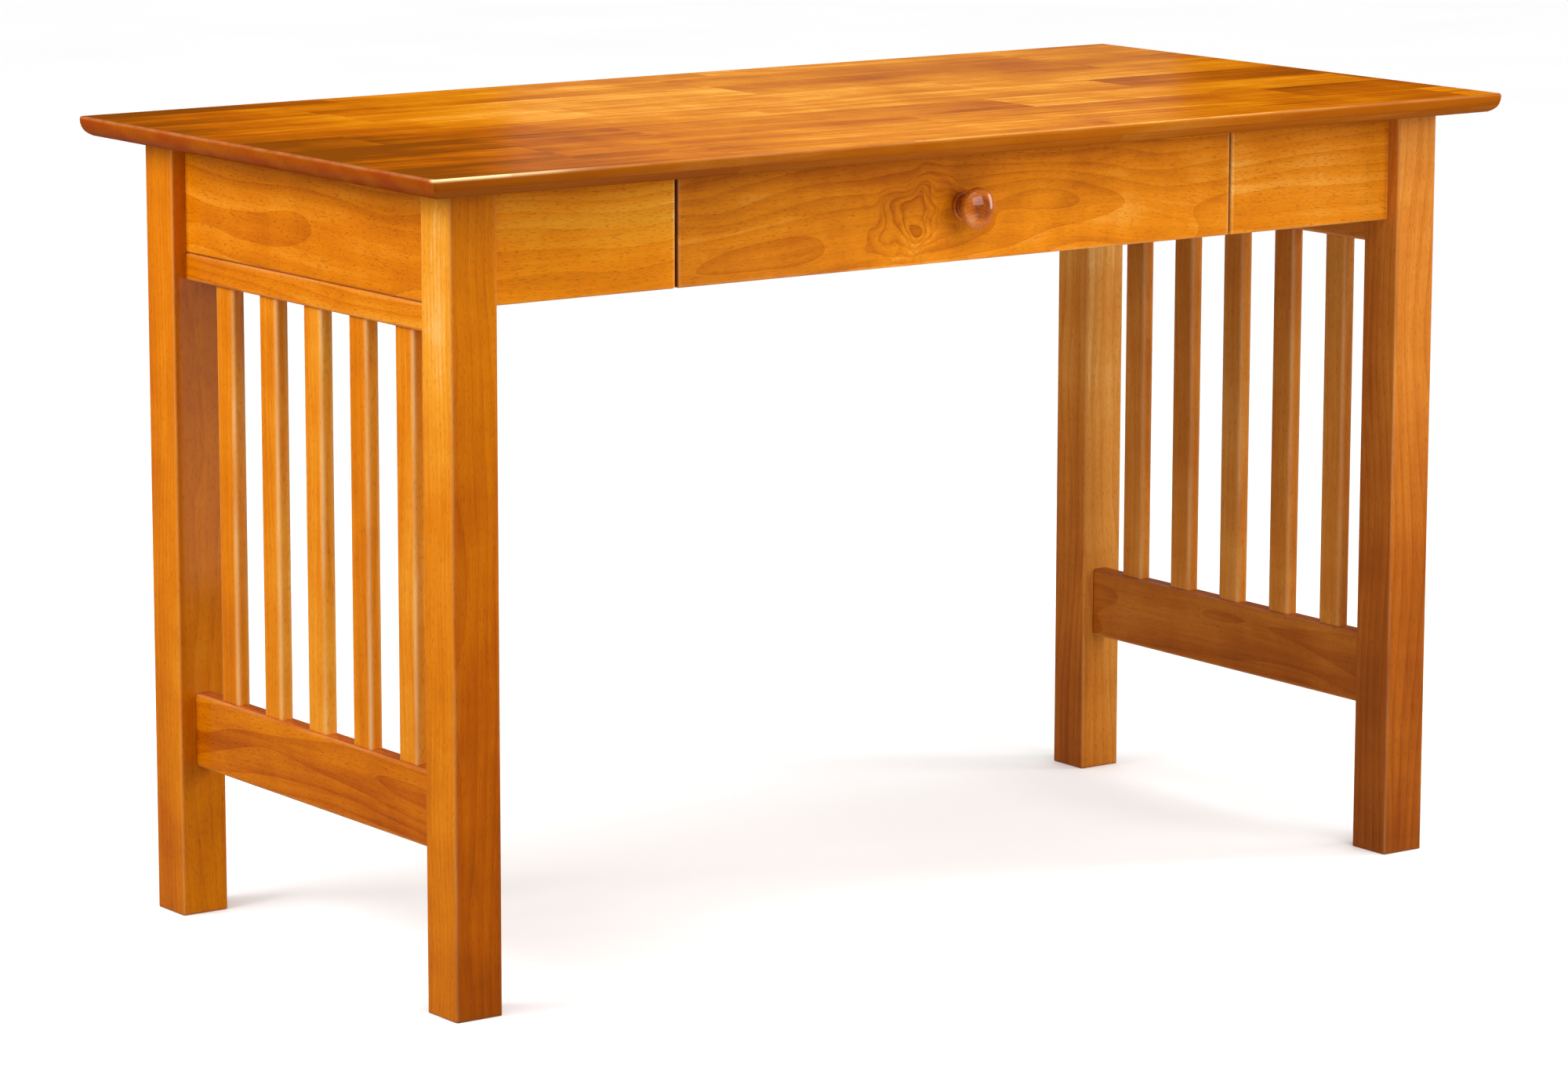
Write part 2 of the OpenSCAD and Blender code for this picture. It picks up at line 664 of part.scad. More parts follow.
// The space that the grooves keep for the bottom.
module bottom_space() block([box_in - groove_d, box_y + box_t - groove_d, bottom_z],
  [-box_in + groove_d, box_back + over, bottom_z + bottom_t + groove_gap]);

// A board across the box with dovetail pins at its ends, from height z0 up.
module pinned_board(z0, from) {
  block([box_in, box_y, z0], [-box_in, box_y + box_t, box_z + box_h]);
  intersection() {
    both_sides() box_pins(from);
    block([box_x, box_y, z0], [-box_x, box_y + box_t, box_z + box_h]);
  }
}

// The front of the box, behind the face.
module drawer_box_front() color(birch) difference() {
  pinned_board(box_z, 0);
  bottom_space();
  at_face_screws() hole(box_t + over, screw_d);
  translate([0, box_y + box_t, knob_z]) rotate([90, 0, 0]) hole(box_t + over, screw_d);
}

// The back of the box, standing on the bottom.
module drawer_back() color(birch) to_box_back() pinned_board(back_z, 1);

// A side of the box with dovetails cut in both ends.
module drawer_side(side) color(birch) on_side(side) difference() {
  block([box_x, box_y, box_z], [box_in, box_back, box_z + box_h]);
  box_pins(0, joint_gap);
  to_box_back() box_pins(1, joint_gap);
  bottom_space();
  at_runner_screws() hole(flat_bite + end_gap, flat_d);
}
module drawer_side_left() drawer_side(-1);
module drawer_side_right() drawer_side(1);

// The bottom, slid into the grooves from behind.
module drawer_bottom() color(birch)
  block([box_in - groove_d + groove_gap, box_y + box_t - groove_d + groove_gap, bottom_z],
        [-box_in + groove_d - groove_gap, box_back, bottom_z + bottom_t]);

// The screws that hold the face to the box.
module face_screws() color(zinc) at_face_screws() wood_screw(box_t + screw_bite);

// Half section of the turned knob: foot, ring, neck, back cone, rounded rim and domed front.
module knob_section() {
  rim_r = knob_d / 2 - knob_rim;
  dome_z = knob_l - knob_dome;
  rim_z = dome_z + sqrt(pow(knob_dome - knob_rim, 2) - pow(rim_r, 2));
  touch = [rim_r, rim_z - dome_z] * knob_dome / (knob_dome - knob_rim) + [0, dome_z];
  neck = [knob_neck_d / 2, 3 * knob_step];
  reach = norm([rim_r, rim_z] - neck);
  lean = atan2(rim_z - neck[1], rim_r - neck[0]) - asin(knob_rim / reach);
  back = neck + sqrt(reach * reach - knob_rim * knob_rim) * [cos(lean), sin(lean)];
  ease = knob_step / 2;
  for (step = [[0, knob_foot_d / 2], [knob_step, knob_ring_d / 2]]) translate([0, step[0]]) {
    square([step[1] - ease, knob_step]);
    square([step[1], knob_step - ease]);
    translate([step[1] - ease, knob_step - ease]) intersection() {
      circle(ease);
      square(ease);
    }
  }
  square([neck[0], neck[1]]);
  polygon([[0, neck[1]], neck, back, [rim_r, rim_z], touch, [0, touch[1]]]);
  translate([rim_r, rim_z]) circle(knob_rim);
  intersection() {
    translate([0, dome_z]) circle(knob_dome);
    translate([0, rim_z]) square([touch[0], knob_l]);
  }
}

// The knob, turned about Y, with a blind hole for its screw.
module drawer_knob() color(cherry) translate([0, face_y, knob_z]) rotate([90, 0, 0]) difference() {
  rotate_extrude() knob_section();
  hole(knob_hole, screw_d);
}

// The screw through the box's front and the face into the knob.
module knob_screw() color(zinc) translate([0, box_y + box_t, knob_z]) rotate([90, 0, 0])
  wood_screw(box_t + face_t + knob_hole - end_gap);

// Places of the channel's screws on its web, pointing out into the bearer.
module at_channel_screws() for (y = slide_screws)
  translate([open_x, channel_y + y, box_z + channel_h / 2]) rotate([0, -90, 0]) children();

// Places of the runner's screws under the drawer side, pointing up.
module at_runner_screws() for (y = slide_screws)
  translate([box_x + box_t / 2, box_y + y, box_z]) children();

// The fixed channel: web, two flanges, a lip behind and a stop for the rear roller.
module channel(side) color(enamel) on_side(side) difference() {
  union() {
    block([open_x, channel_y, box_z], [web_in, channel_back, box_z + channel_h]);
    block([open_x, channel_y, box_z], [open_x + channel_w, channel_back, box_z + steel_t]);
    block([open_x, front_pin[0] + front_roller_r + 2 * end_gap, box_z + channel_h - steel_t],
          [open_x + channel_w, channel_back, box_z + channel_h]);
    block([open_x, channel_back - steel_t, box_z],
          [open_x + channel_w, channel_back, box_z + channel_h]);
    block([web_in + 1, stop_y, box_z + channel_h / 2],
          [open_x + channel_w, stop_y + steel_t, box_z + channel_h - steel_t / 2]);
  }
  at_channel_screws() translate([0, 0, -steel_t]) hole(steel_t + over, flat_d);
  translate([open_x - over, front_pin[0], front_pin[1]]) to_x()
    cylinder(h = steel_t + 2 * over, r = pin_r + hole_gap);
}
module channel_left() channel(-1);
module channel_right() channel(1);

// The screws of the channels.
module channel_screws() color(zinc) both_sides() at_channel_screws()
  translate([0, 0, -steel_t]) flat_screw(steel_t + flat_bite);

// The moving runner: web on the drawer side, foot under it, running flange above the channel.
module runner(side) color(enamel) on_side(side) difference() {
  union() {
    block([runner_out, box_y, box_z - steel_t], [box_x, box_back, flange_z + steel_t]);
    block([runner_out, box_y, box_z - steel_t], [box_x + foot_w, box_back, box_z]);
    block([flange_x, box_y, flange_z], [box_x, box_back, flange_z + steel_t]);
  }
  at_runner_screws() translate([0, 0, -steel_t]) hole(steel_t + over, flat_d);
  translate([runner_out - over, rear_pin[0], rear_pin[1]]) to_x()
    cylinder(h = steel_t + 2 * over, r = pin_r + hole_gap);
}
module runner_left() runner(-1);
module runner_right() runner(1);

// The screws of the runners.
module runner_screws() color(zinc) both_sides() at_runner_screws()
  translate([0, 0, -steel_t]) flat_screw(steel_t + flat_bite);

// A roller of radius r on its pin, with a recess for the pin's head.
module roller(r) color(nylon) translate([0, 0, steel_t + side_air]) difference() {
  rotate_extrude() {
    square([r - 1, roller_w]);
    translate([0, 1]) square([r, roller_w - 2]);
    for (z = [1, roller_w - 1]) translate([r - 1, z]) circle(1);
  }
  translate([0, 0, -over]) cylinder(h = roller_w + 2 * over, r = pin_r + bore_gap);
  translate([0, 0, roller_w - recess]) cylinder(h = recess + over, r = pin_head_r + head_air);
}

// A roller's riveted pin: shank through the steel, collar, journal and head along +Z.
module roller_pin() color(zinc) {
  head_z = steel_t + side_air + roller_w - pin_head_t;
  cylinder(h = head_z, r = pin_r);
  translate([0, 0, steel_t]) cylinder(h = side_air - 0.1, r = pin_r + 1);
  translate([0, 0, head_z]) cylinder(h = pin_head_t, r = pin_head_r);
}

// Frames of the rollers' pins: origin on the steel's far face, +Z along the pin to its head.
module on_front_pin() translate([open_x, front_pin[0], front_pin[1]]) to_x() children();
module on_rear_pin() translate([box_x, rear_pin[0], rear_pin[1]]) rotate([0, -90, 0]) children();

module front_roller(side) on_side(side) on_front_pin() roller(front_roller_r);
module front_roller_left() front_roller(-1);
module front_roller_right() front_roller(1);
module rear_roller(side) on_side(side) on_rear_pin() roller(rear_roller_r);
module rear_roller_left() rear_roller(-1);
module rear_roller_right() rear_roller(1);
module front_roller_pins() both_sides() on_front_pin() roller_pin();
module rear_roller_pins() both_sides() on_rear_pin() roller_pin();

desk_top();
leg_front_left();
leg_front_right();
leg_back_left();
leg_back_right();
side_apron_left();
side_apron_right();
back_apron();
front_panel_left();
front_panel_right();
upper_rail_left();
upper_rail_right();
lower_rail_left();
lower_rail_right();
slat_left_1();
slat_left_2();
slat_left_3();
slat_left_4();
slat_left_5();
slat_right_1();
slat_right_2();
slat_right_3();
slat_right_4();
slat_right_5();
drawer_bearer_left();
drawer_bearer_right();
bearer_dowels();
corner_block_front_left();
corner_block_front_right();
corner_block_back_left();
corner_block_back_right();
corner_bolts();
corner_washers();
block_screws();
top_clips();
clip_screws();
drawer_face();
drawer_box_front();
drawer_side_left();
drawer_side_right();
drawer_back();
drawer_bottom();
face_screws();
drawer_knob();
knob_screw();
channel_left();
channel_right();
channel_screws();
runner_left();
runner_right();
runner_screws();
front_roller_left();
front_roller_right();
rear_roller_left();
rear_roller_right();
front_roller_pins();
rear_roller_pins();
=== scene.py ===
# %% [markdown]
# # A hardwood writing desk, dressed cell by cell
# The desk arrives as a finished frame: every leg, rail, slat, screw and roller is already in
# place, in metres, standing on the floor with its front towards -Y. What is left to do is what
# a finishing shop does: show each board with its own grain, its rounded arrises and its
# lacquer, then light it softly and look at it from the photographer's place.

# %% Load the frame and note its size
import math

import bpy
import numpy as np
from mathutils import Matrix, Vector


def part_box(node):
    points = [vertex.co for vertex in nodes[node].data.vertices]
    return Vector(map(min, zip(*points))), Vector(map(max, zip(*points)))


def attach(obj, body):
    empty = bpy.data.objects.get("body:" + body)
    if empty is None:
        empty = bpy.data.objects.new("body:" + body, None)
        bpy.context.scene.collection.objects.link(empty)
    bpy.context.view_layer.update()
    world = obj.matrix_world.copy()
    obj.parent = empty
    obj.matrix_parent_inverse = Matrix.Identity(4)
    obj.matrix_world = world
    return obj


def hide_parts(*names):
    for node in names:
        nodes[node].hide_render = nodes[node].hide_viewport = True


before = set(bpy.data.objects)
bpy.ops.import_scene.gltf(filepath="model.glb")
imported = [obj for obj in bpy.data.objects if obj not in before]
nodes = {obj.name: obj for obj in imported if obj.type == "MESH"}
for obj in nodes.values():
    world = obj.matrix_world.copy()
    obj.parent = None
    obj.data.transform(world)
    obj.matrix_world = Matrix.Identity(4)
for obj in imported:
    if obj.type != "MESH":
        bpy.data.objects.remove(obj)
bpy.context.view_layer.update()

MM = 0.001

# %% [markdown]
# ## The camera
# The photograph was taken with a long lens from the front left, a little above the top. A long
# lens keeps upright lines nearly parallel, which is how furniture is usually shown. The place,
# the turn and the focal length below were worked out from the corners of the top and the feet,
# so the same corners fall close to the same spots of the picture.

# %% Place the camera
SENSOR = 36.0
LENS = 132.14
NEAR, FAR = 0.1, 100.0
CAMERA_AT = Vector((-3.1972, -4.3698, 1.3266))
YAW, PITCH, ROLL = (math.radians(a) for a in (-35.99, -10.37, 0.1))


def camera_axes(yaw, pitch, roll):
    """The camera's right, up and forward directions: forward is turned by yaw about Z and
    tipped by pitch, right stays level, up is square to both, and roll turns right towards up."""
    flat = math.cos(pitch)
    forward = Vector((-math.sin(yaw) * flat, math.cos(yaw) * flat, math.sin(pitch)))
    level = Vector((math.cos(yaw), math.sin(yaw), 0))
    up = level.cross(forward)
    right = math.cos(roll) * level + math.sin(roll) * up
    return right, math.cos(roll) * up - math.sin(roll) * level, forward


def place_camera():
    """A camera looks along its own -Z, so its axes are right, up and minus forward."""
    right, up, forward = camera_axes(YAW, PITCH, ROLL)
    data = bpy.data.cameras.new("camera")
    data.sensor_width, data.lens = SENSOR, LENS
    data.clip_start, data.clip_end = NEAR, FAR
    camera = bpy.data.objects.new("camera", data)
    turn = Matrix((right, up, -forward)).transposed().to_4x4()
    camera.matrix_world = Matrix.Translation(CAMERA_AT) @ turn
    bpy.context.scene.collection.objects.link(camera)
    bpy.context.scene.camera = camera


place_camera()
print("camera at", [round(v, 3) for v in CAMERA_AT], "lens", LENS, "mm")

# %% [markdown]
# ## From numbers to a mesh
# Every new piece below is a surface worked out with numpy: rings of points, stacked along a
# board or round a knob. Two helpers are enough. One joins neighbouring rings with faces, the
# other puts points and faces into Blender and stores a few numbers with every point. Those
# numbers travel with the mesh, and the wood finish reads them: where a point lies in its
# plank, how light the plank is, how much an edge is sanded thin and lit by a painted
# highlight, and whether end grain shows.

# %% Mesh helpers
SHARP_EDGE = math.radians(42)


def ring_faces(rows, columns):
    """Quads between stacked rings: point (i, j) joins (i, j+1), (i+1, j+1) and (i+1, j), and
    the last column closes on the first."""
    i, j = np.meshgrid(np.arange(rows - 1), np.arange(columns), indexing="ij")
    k = (j + 1) % columns
    here, above = i * columns, (i + 1) * columns
    quads = np.stack([here + j, here + k, above + k, above + j], -1)
    return quads.reshape(-1, 4).tolist()


def end_caps(rows, columns):
    """One face over the first ring, turned round to look back, and one over the last."""
    first = list(range(columns))
    return [first[::-1], [(rows - 1) * columns + j for j in first]]


def make_piece(name, points, faces, **numbers):
    """A mesh object with its place in its points. Each keyword becomes a number or a vector
    stored with every point."""
    mesh = bpy.data.meshes.new(name)
    mesh.from_pydata(np.asarray(points, float).reshape(-1, 3), [], faces)
    for key, values in numbers.items():
        values = np.asarray(values, np.float32)
        kind, field = ("FLOAT", "value") if values.ndim == 1 else ("FLOAT_VECTOR", "vector")
        mesh.attributes.new(key, kind, "POINT").data.foreach_set(field, values.ravel())
    mesh.shade_smooth()
    mesh.set_sharp_from_angle(angle=SHARP_EDGE)
    piece = bpy.data.objects.new(name, mesh)
    bpy.context.scene.collection.objects.link(piece)
    modifier = piece.modifiers.new("even shading", "WEIGHTED_NORMAL")
    modifier.keep_sharp = True
    return piece


print("two rings of 8 points are joined by", len(ring_faces(2, 8)), "faces")

# %% [markdown]
# ## The section of a board
# A planed board is a rectangle whose four corners, the arrises, have been rounded with a
# router or sandpaper. The rounding is small, but it is what catches the light, so it is real
# geometry here. Each corner is a quarter circle, and on both sides of it an extra point sits
# close by on the flat, so that the arris's sanded, lighter look, which is partly a painted
# highlight, stays on the arris.

# %% Rounded rectangle
ARC_STEPS = 5
GUARD = 1.6 * MM


def rounded_ring(half_u, half_v, radius):
    """Points round a rectangle with rounded corners, one ring for each value of half_u, half_v
    and radius: corner centre (half - radius) plus radius times (cos, sin), anticlockwise, and
    three points on each flat. Also returns how much each point is lightened, 0 to 1, most in
    the middle of an arris, as sanding and as a painted highlight, and the direction in which
    the surface faces there."""
    half_u, half_v, radius = (np.atleast_1d(np.asarray(v, float)) for v in (half_u, half_v, radius))
    half_u, half_v, radius = np.broadcast_arrays(half_u, half_v, radius)
    quarter = np.linspace(0, np.pi / 2, ARC_STEPS + 1)
    angle = quarter + np.arange(4)[:, None] * np.pi / 2
    side = np.array([[1, 1], [-1, 1], [-1, -1], [1, -1]], float)
    centre = np.stack([half_u - radius, half_v - radius], -1)[:, None, None, :] * side[:, None, :]
    spoke = np.stack([np.cos(angle), np.sin(angle)], -1)
    arcs = centre + radius[:, None, None, None] * spoke
    start, stop = arcs[:, :, -1:], np.roll(arcs[:, :, :1], -1, axis=1)
    length = np.linalg.norm(stop - start, axis=-1, keepdims=True)
    guard = np.minimum(GUARD / np.maximum(length, 1e-9), 0.4)
    flats = [start + (stop - start) * share for share in (guard, 0.5 + 0 * guard, 1 - guard)]
    ring = np.concatenate([arcs, *flats], 2).reshape(len(radius), -1, 2)
    # how much each arris point is lightened, most mid-arc: sanding and a painted highlight
    arris_wear_and_highlight = np.tile(np.concatenate([0.15 + 0.85 * np.sin(2 * quarter) ** 2, np.zeros(3)]), 4)
    facing = np.concatenate([spoke, np.repeat(spoke[:, -1:], 3, axis=1)], 1).reshape(-1, 2)
    return ring, arris_wear_and_highlight, facing


LEG_ARRIS = 2.5 * MM
print("a leg's section has", rounded_ring(24 * MM, 24 * MM, LEG_ARRIS)[0].shape[1], "points")

# %% [markdown]
# ## A board along its grain
# Wood grain runs along a board, so the section is carried along that direction. Near an end
# that shows, the section shrinks along a quarter circle, which rounds the end as well. In
# between, a ring every few centimetres is enough, because the board is straight.

# %% Rings along a board
STATION_PITCH = 60 * MM


def end_stations(length, round_low, round_high):
    """Distances along a board and how far the section is drawn in there: at an end rounded with
    radius r the distance is r(1 - cos a) and the inset r(1 - sin a), for a from 0 to 90."""
    a = np.linspace(0, np.pi / 2, ARC_STEPS + 1)

    def rounding(radius):
        if not radius:
            return np.zeros(1), np.zeros(1)
        return radius * (1 - np.cos(a)), radius * (1 - np.sin(a))

    (from_low, low_inset), (from_high, high_inset) = rounding(round_low), rounding(round_high)
    start, stop = from_low[-1] + GUARD, length - from_high[-1] - GUARD
    middle = np.linspace(start, stop, max(2, int(length / STATION_PITCH)))
    along = np.concatenate([from_low, middle, (length - from_high)[::-1]])
    inset = np.concatenate([low_inset, 0 * middle, high_inset[::-1]])
    end = np.concatenate([1 + 0 * from_low, 0 * middle, 1 + 0 * from_high])
    return along, inset, end


print("a 100 mm board has its rings at", (end_stations(0.1, 2 * MM, 0)[0] / MM).round(1), "mm")

# %% [markdown]
# ## A board out of a log
# Each point of a board also gets its place in an imagined log: the distance along the grain
# stays as it is, and across the grain the board is set off from the heart of the log by its
# own amount. Two boards cut from different logs then never share a pattern, as they would
# with a painted image.

# %% Boards
LEAST_ARRIS = 0.05 * MM
END_WEAR_AND_HIGHLIGHT, SEAM_SIDE = 0.7, 0.7


def board_number(name):
    """How many metres a board slides along its log, 0 to 12.5: a weighted sum of the letters of
    its name, what is left of it after dividing by 97, and that times 0.13."""
    return sum(ord(letter) * (n + 3) for n, letter in enumerate(name)) % 97 * 0.13


def board(name, low, high, grain, arris, rounded, log, tone, seam=(0, 0)):
    """A board between two corners. The section lies across the grain axis, drawn in by the
    stations' inset, and its arris radius shrinks by the same inset. `rounded` holds the radius
    at its low and its high end, `log` its place off the heart of the log. Its tone is a level,
    plus a share of the direction that the face looks in, plus a slope along the grain. The face
    shares stand partly for each face cutting the log in its own way and partly for painted
    light and shade, a face made lighter or darker for the light that falls on it; on the legs
    the slope is painted shade, darker towards the foot. `seam` points to the side where the
    board lies tight against a neighbour: that arris stays dark with stain instead of sanded
    light."""
    low, high = np.array(low, float), np.array(high, float)
    u, v = (grain + 1) % 3, (grain + 2) % 3
    half = (high - low) / 2
    along, inset, end = end_stations(high[grain] - low[grain], *rounded)
    radius = np.maximum(arris - inset, LEAST_ARRIS)
    ring, arris_wear_and_highlight, facing = rounded_ring(half[u] - inset, half[v] - inset, radius)
    rows, columns = ring.shape[:2]
    points = np.zeros((rows, columns, 3))
    points[..., u] = ring[..., 0] + (low + high)[u] / 2
    points[..., v] = ring[..., 1] + (low + high)[v] / 2
    points[..., grain] = (low[grain] + along)[:, None]
    lengthwise = points[..., grain] + board_number(name)
    in_log = np.stack([ring[..., 0] + log[0], ring[..., 1] + log[1], lengthwise], -1)
    at_end = (inset > 0) | ((end > 0) & (max(rounded) > 0))
    # the arrises and rounded ends are lightened later: sanded thin, and a painted highlight
    wear = np.maximum(arris_wear_and_highlight[None, :], at_end[:, None] * END_WEAR_AND_HIGHLIGHT)
    towards_seam = ring / half[[u, v]] @ np.array(seam, float)
    wear = np.where((arris_wear_and_highlight > 0) & (towards_seam > SEAM_SIDE), -arris_wear_and_highlight, wear)
    slope = tone[3] * (2 * along / along[-1] - 1)
    lean = tone[0] + facing @ np.array(tone[1:3], float) + slope[:, None]
    return make_piece(
        name, points, ring_faces(rows, columns) + end_caps(rows, columns),
        grain=in_log.reshape(-1, 3), tone=lean.ravel(),
        wear=wear.ravel(), end=np.repeat(end, columns),
    )


def stands_for(piece, node, body):
    """The piece takes the place of a frame node and moves with its body."""
    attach(piece, body)
    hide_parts(node)
    return piece


print("the drawer's face lies", round(board_number("wood_drawer_face"), 2), "m along its log")

# %% [markdown]
# ## The legs
# The two ends of the desk are frames: an apron, an upper rail and a lower rail between the
# legs, and five slats between the rails. Their tenons are hidden in the joints, so each board
# here stops at the shoulder, flush on the face that it meets. Where it starts and stops comes
# from its neighbours in the frame, and nothing is measured twice. The legs come first. They
# are the simplest boards: their whole length shows, and only the foot is rounded.

# %% Legs
X, Y, Z = 0, 1, 2
SIDES = ("left", "right")
FOOT_ROUND = 1 * MM
# painted light and shade: legs darker towards the foot, the front right leg's left face darker, the
# back right leg's front lighter, partly a painted sheen
LEG_TONE_AND_SHADE = {
    # place: level, share towards +X, share towards +Y, slope from foot to head
    "front_left": (-0.07, -0.15, 0.13, 0.20), "front_right": (-0.06, 0.10, 0.06, 0.28),
    "back_left": (0.0, 0.04, 0.02, 0.06), "back_right": (0.03, 0.03, -0.26, 0.3),
}
pieces = {}


def fit_board(node, corners, slot, body="desk_frame", **cut):
    """Makes the board that stands for a node, between the two corners given."""
    pieces[node] = board("wood_" + node, *corners, **cut)
    stands_for(pieces[node], node, body)


for place, tone in LEG_TONE_AND_SHADE.items():
    log = (0.03 if "left" in place else -0.05, 0.075 if "front" in place else -0.06)
    fit_board("leg_" + place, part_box("leg_" + place), "frame_wood", grain=Z, arris=LEG_ARRIS,
              rounded=(FOOT_ROUND, 0), log=log, tone=tone)
print("legs:", len(pieces))

# %% [markdown]
# ## What stands between the legs
# The aprons and the rails run from leg to leg, and the slats from rail to rail. Each apron
# rests on the upper rail, and stain has gathered in that joint. The slats were sawn from
# different boards, so each has its own tone. A short row of levels is the plainest way to say
# that, and it can be changed by eye.

# %% Aprons, rails and slats
SLAT_ARRIS = 4 * MM
BETWEEN_LEGS = {
    # kind: arris, tone, place in the log, side of the seam
    "side_apron": (2 * MM, (-0.02, 0, 0, 0), (0.012, 0.11), (-1, 0)),
    "upper_rail": (3 * MM, (0.05, 0, 0, 0), (0.05, 0.06), (0, 0)),
    # the lower rail is darker on its top face and lighter on its underside
    "lower_rail": (3 * MM, (-0.07, -0.3, 0, 0), (0.0, 0.055), (0, 0)),
}
# the right end's aprons and rails are darker, partly as painted shade on their inner faces
RIGHT_SHADE_DARKER, RIGHT_LOG = 0.07, 0.03
SLAT_LEVELS = {
    "left": (0.03, -0.03, 0.06, 0.0, -0.06),
    "right": (0.01, -0.01, -0.01, 0.0, -0.05),
}
SLAT_FACES = {"left": (-0.03, -0.1), "right": (-0.03, 0.06)}


def span(node, axis, start, stop):
    """The node's two corners with one axis cut to start and stop."""
    low, high = (list(corner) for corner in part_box(node))
    low[axis], high[axis] = start, stop
    return low, high


for kind, (arris, tone, log, seam) in BETWEEN_LEGS.items():
    for n, side in enumerate(SIDES):
        node = f"{kind}_{side}"
        front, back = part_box("leg_front_" + side)[1].y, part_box("leg_back_" + side)[0].y
        fit_board(node, span(node, Y, front, back), "frame_wood", grain=Y, arris=arris,
                  rounded=(0, 0), log=(log[0], log[1] + RIGHT_LOG * n),
                  tone=(tone[0] - RIGHT_SHADE_DARKER * n, *tone[1:]), seam=seam)

for n in range(1, 6):
    for side in SIDES:
        node = f"slat_{side}_{n}"
        foot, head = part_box("lower_rail_" + side)[1].z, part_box("upper_rail_" + side)[0].z
        fit_board(node, span(node, Z, foot, head), "slat_wood", grain=Z, arris=SLAT_ARRIS,
                  rounded=(0, 0), log=(0.07 - 0.013 * n, 0.05 + 0.006 * n),
                  tone=(SLAT_LEVELS[side][n - 1], *SLAT_FACES[side], 0))
print("end frames:", len(pieces), "boards")

# %% [markdown]
# ## The front and the back
# Left and right of the drawer a fixed panel closes the front. The drawer's face fills the rest
# and looks like the same board sawn in three, so all three get neighbouring places in one log.
# A plain apron closes the back.

# %% Front panels, drawer face and back apron
FRONT_ARRIS = 2 * MM
left_from, right_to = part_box("leg_front_left")[1].x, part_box("leg_front_right")[0].x
left_to, right_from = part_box("front_panel_left")[1].x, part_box("front_panel_right")[0].x

fit_board("front_panel_left", span("front_panel_left", X, left_from, left_to), "front_wood",
          grain=X, arris=FRONT_ARRIS, rounded=(0, FRONT_ARRIS), log=(-0.10, 0.035),
          tone=(0.1, 0, 0, 0))
fit_board("front_panel_right", span("front_panel_right", X, right_from, right_to), "front_wood",
          grain=X, arris=FRONT_ARRIS, rounded=(FRONT_ARRIS, 0), log=(-0.10, 0.035),
          tone=(0.04, 0, 0, 0))
fit_board("drawer_face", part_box("drawer_face"), "front_wood", body="drawer", grain=X,
          arris=FRONT_ARRIS, rounded=(FRONT_ARRIS, FRONT_ARRIS), log=(-0.10, 0.03),
          tone=(-0.04, 0, 0, -0.01))
fit_board("back_apron", span("back_apron", X, left_from, right_to), "frame_wood", grain=X,
          arris=FRONT_ARRIS, rounded=(0, 0), log=(0.13, 0.04), tone=(0.05, 0, 0, 0))
print("front and back:", len(pieces), "boards so far")

# %% [markdown]
# ## The top
# The top is a slab of glued staves. Its under-edge is cut away in one long arc, so the slab
# looks thinner than it is, and the upper arris is only eased. The profile of that edge is
# carried once round the plan of the top, whose four corners are slightly rounded.

# %% The top with its undercut edge
TOP_ARRIS = 2.5 * MM
UNDER_IN = 10 * MM
PLAN_CORNER = 4 * MM
FLAT_ABOVE, FLAT_BELOW = 20 * MM, 40 * MM


def edge_profile(thickness):
    """The slab's edge from the underside up: an arc that leaves the underside at UNDER_IN and
    ends upright under the arris, r - sqrt(r^2 - h^2) in at a height h below that, then a quarter
    circle for the arris. Returns how far in each point lies, its height and how much it is
    lightened, as sanding and as a painted highlight."""
    rise = thickness - TOP_ARRIS
    radius = (rise**2 + UNDER_IN**2) / (2 * UNDER_IN)
    below = np.linspace(rise, 0, 15)
    arc_in = radius - np.sqrt(radius**2 - below**2)
    a = np.linspace(0, np.pi / 2, 7)[1:]
    arris_in, arris_up = TOP_ARRIS * (1 - np.cos(a)), rise + TOP_ARRIS * np.sin(a)
    inset = np.concatenate([[FLAT_BELOW], arc_in, arris_in, [TOP_ARRIS + GUARD, FLAT_ABOVE]])
    height = np.concatenate([[0.0], rise - below, arris_up, [thickness, thickness]])
    wear = np.concatenate([[0.0, 0.5], 0 * below[1:-1], [0.3], 0.4 + 0.6 * np.sin(2 * a), [0, 0]])
    return inset, height, wear


def make_top():
    """The edge's profile as rings round the plan: each ring is a rounded rectangle, drawn in by
    the profile's inset. End grain shows on the rim where it looks along X."""
    low, high = (np.array(corner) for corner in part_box("desk_top"))
    half, thickness = (high - low) / 2, high[2] - low[2]
    inset, height, wear = edge_profile(thickness)
    corner = np.maximum(PLAN_CORNER - inset, 0.2 * MM)
    ring, _, _ = rounded_ring(half[0] - inset, half[1] - inset, corner)
    rows, columns = ring.shape[:2]
    points = np.dstack([ring, np.repeat(height[:, None] + low[2], columns, 1)])
    sideways = np.abs(ring[..., 0]) > half[0] - inset[:, None] - 1e-6
    rim = ((inset < TOP_ARRIS) | (height < thickness - TOP_ARRIS))[:, None]
    return make_piece(
        "wood_desk_top", points, ring_faces(rows, columns) + end_caps(rows, columns),
        wear=np.repeat(wear, columns), end=(sideways & rim).ravel().astype(float),
    )


pieces["desk_top"] = stands_for(make_top(), "desk_top", "desk_frame")
print("top:", len(pieces["desk_top"].data.vertices), "points")

# %% [markdown]
# ## The knob
# The knob was turned on a lathe: a foot, a ring, a slim neck, a cone that opens to the head, a
# round rim and a shallow dome. A turned shape is one profile and one circle: the profile gives
# a radius at each height, and the circle carries it round the axis.

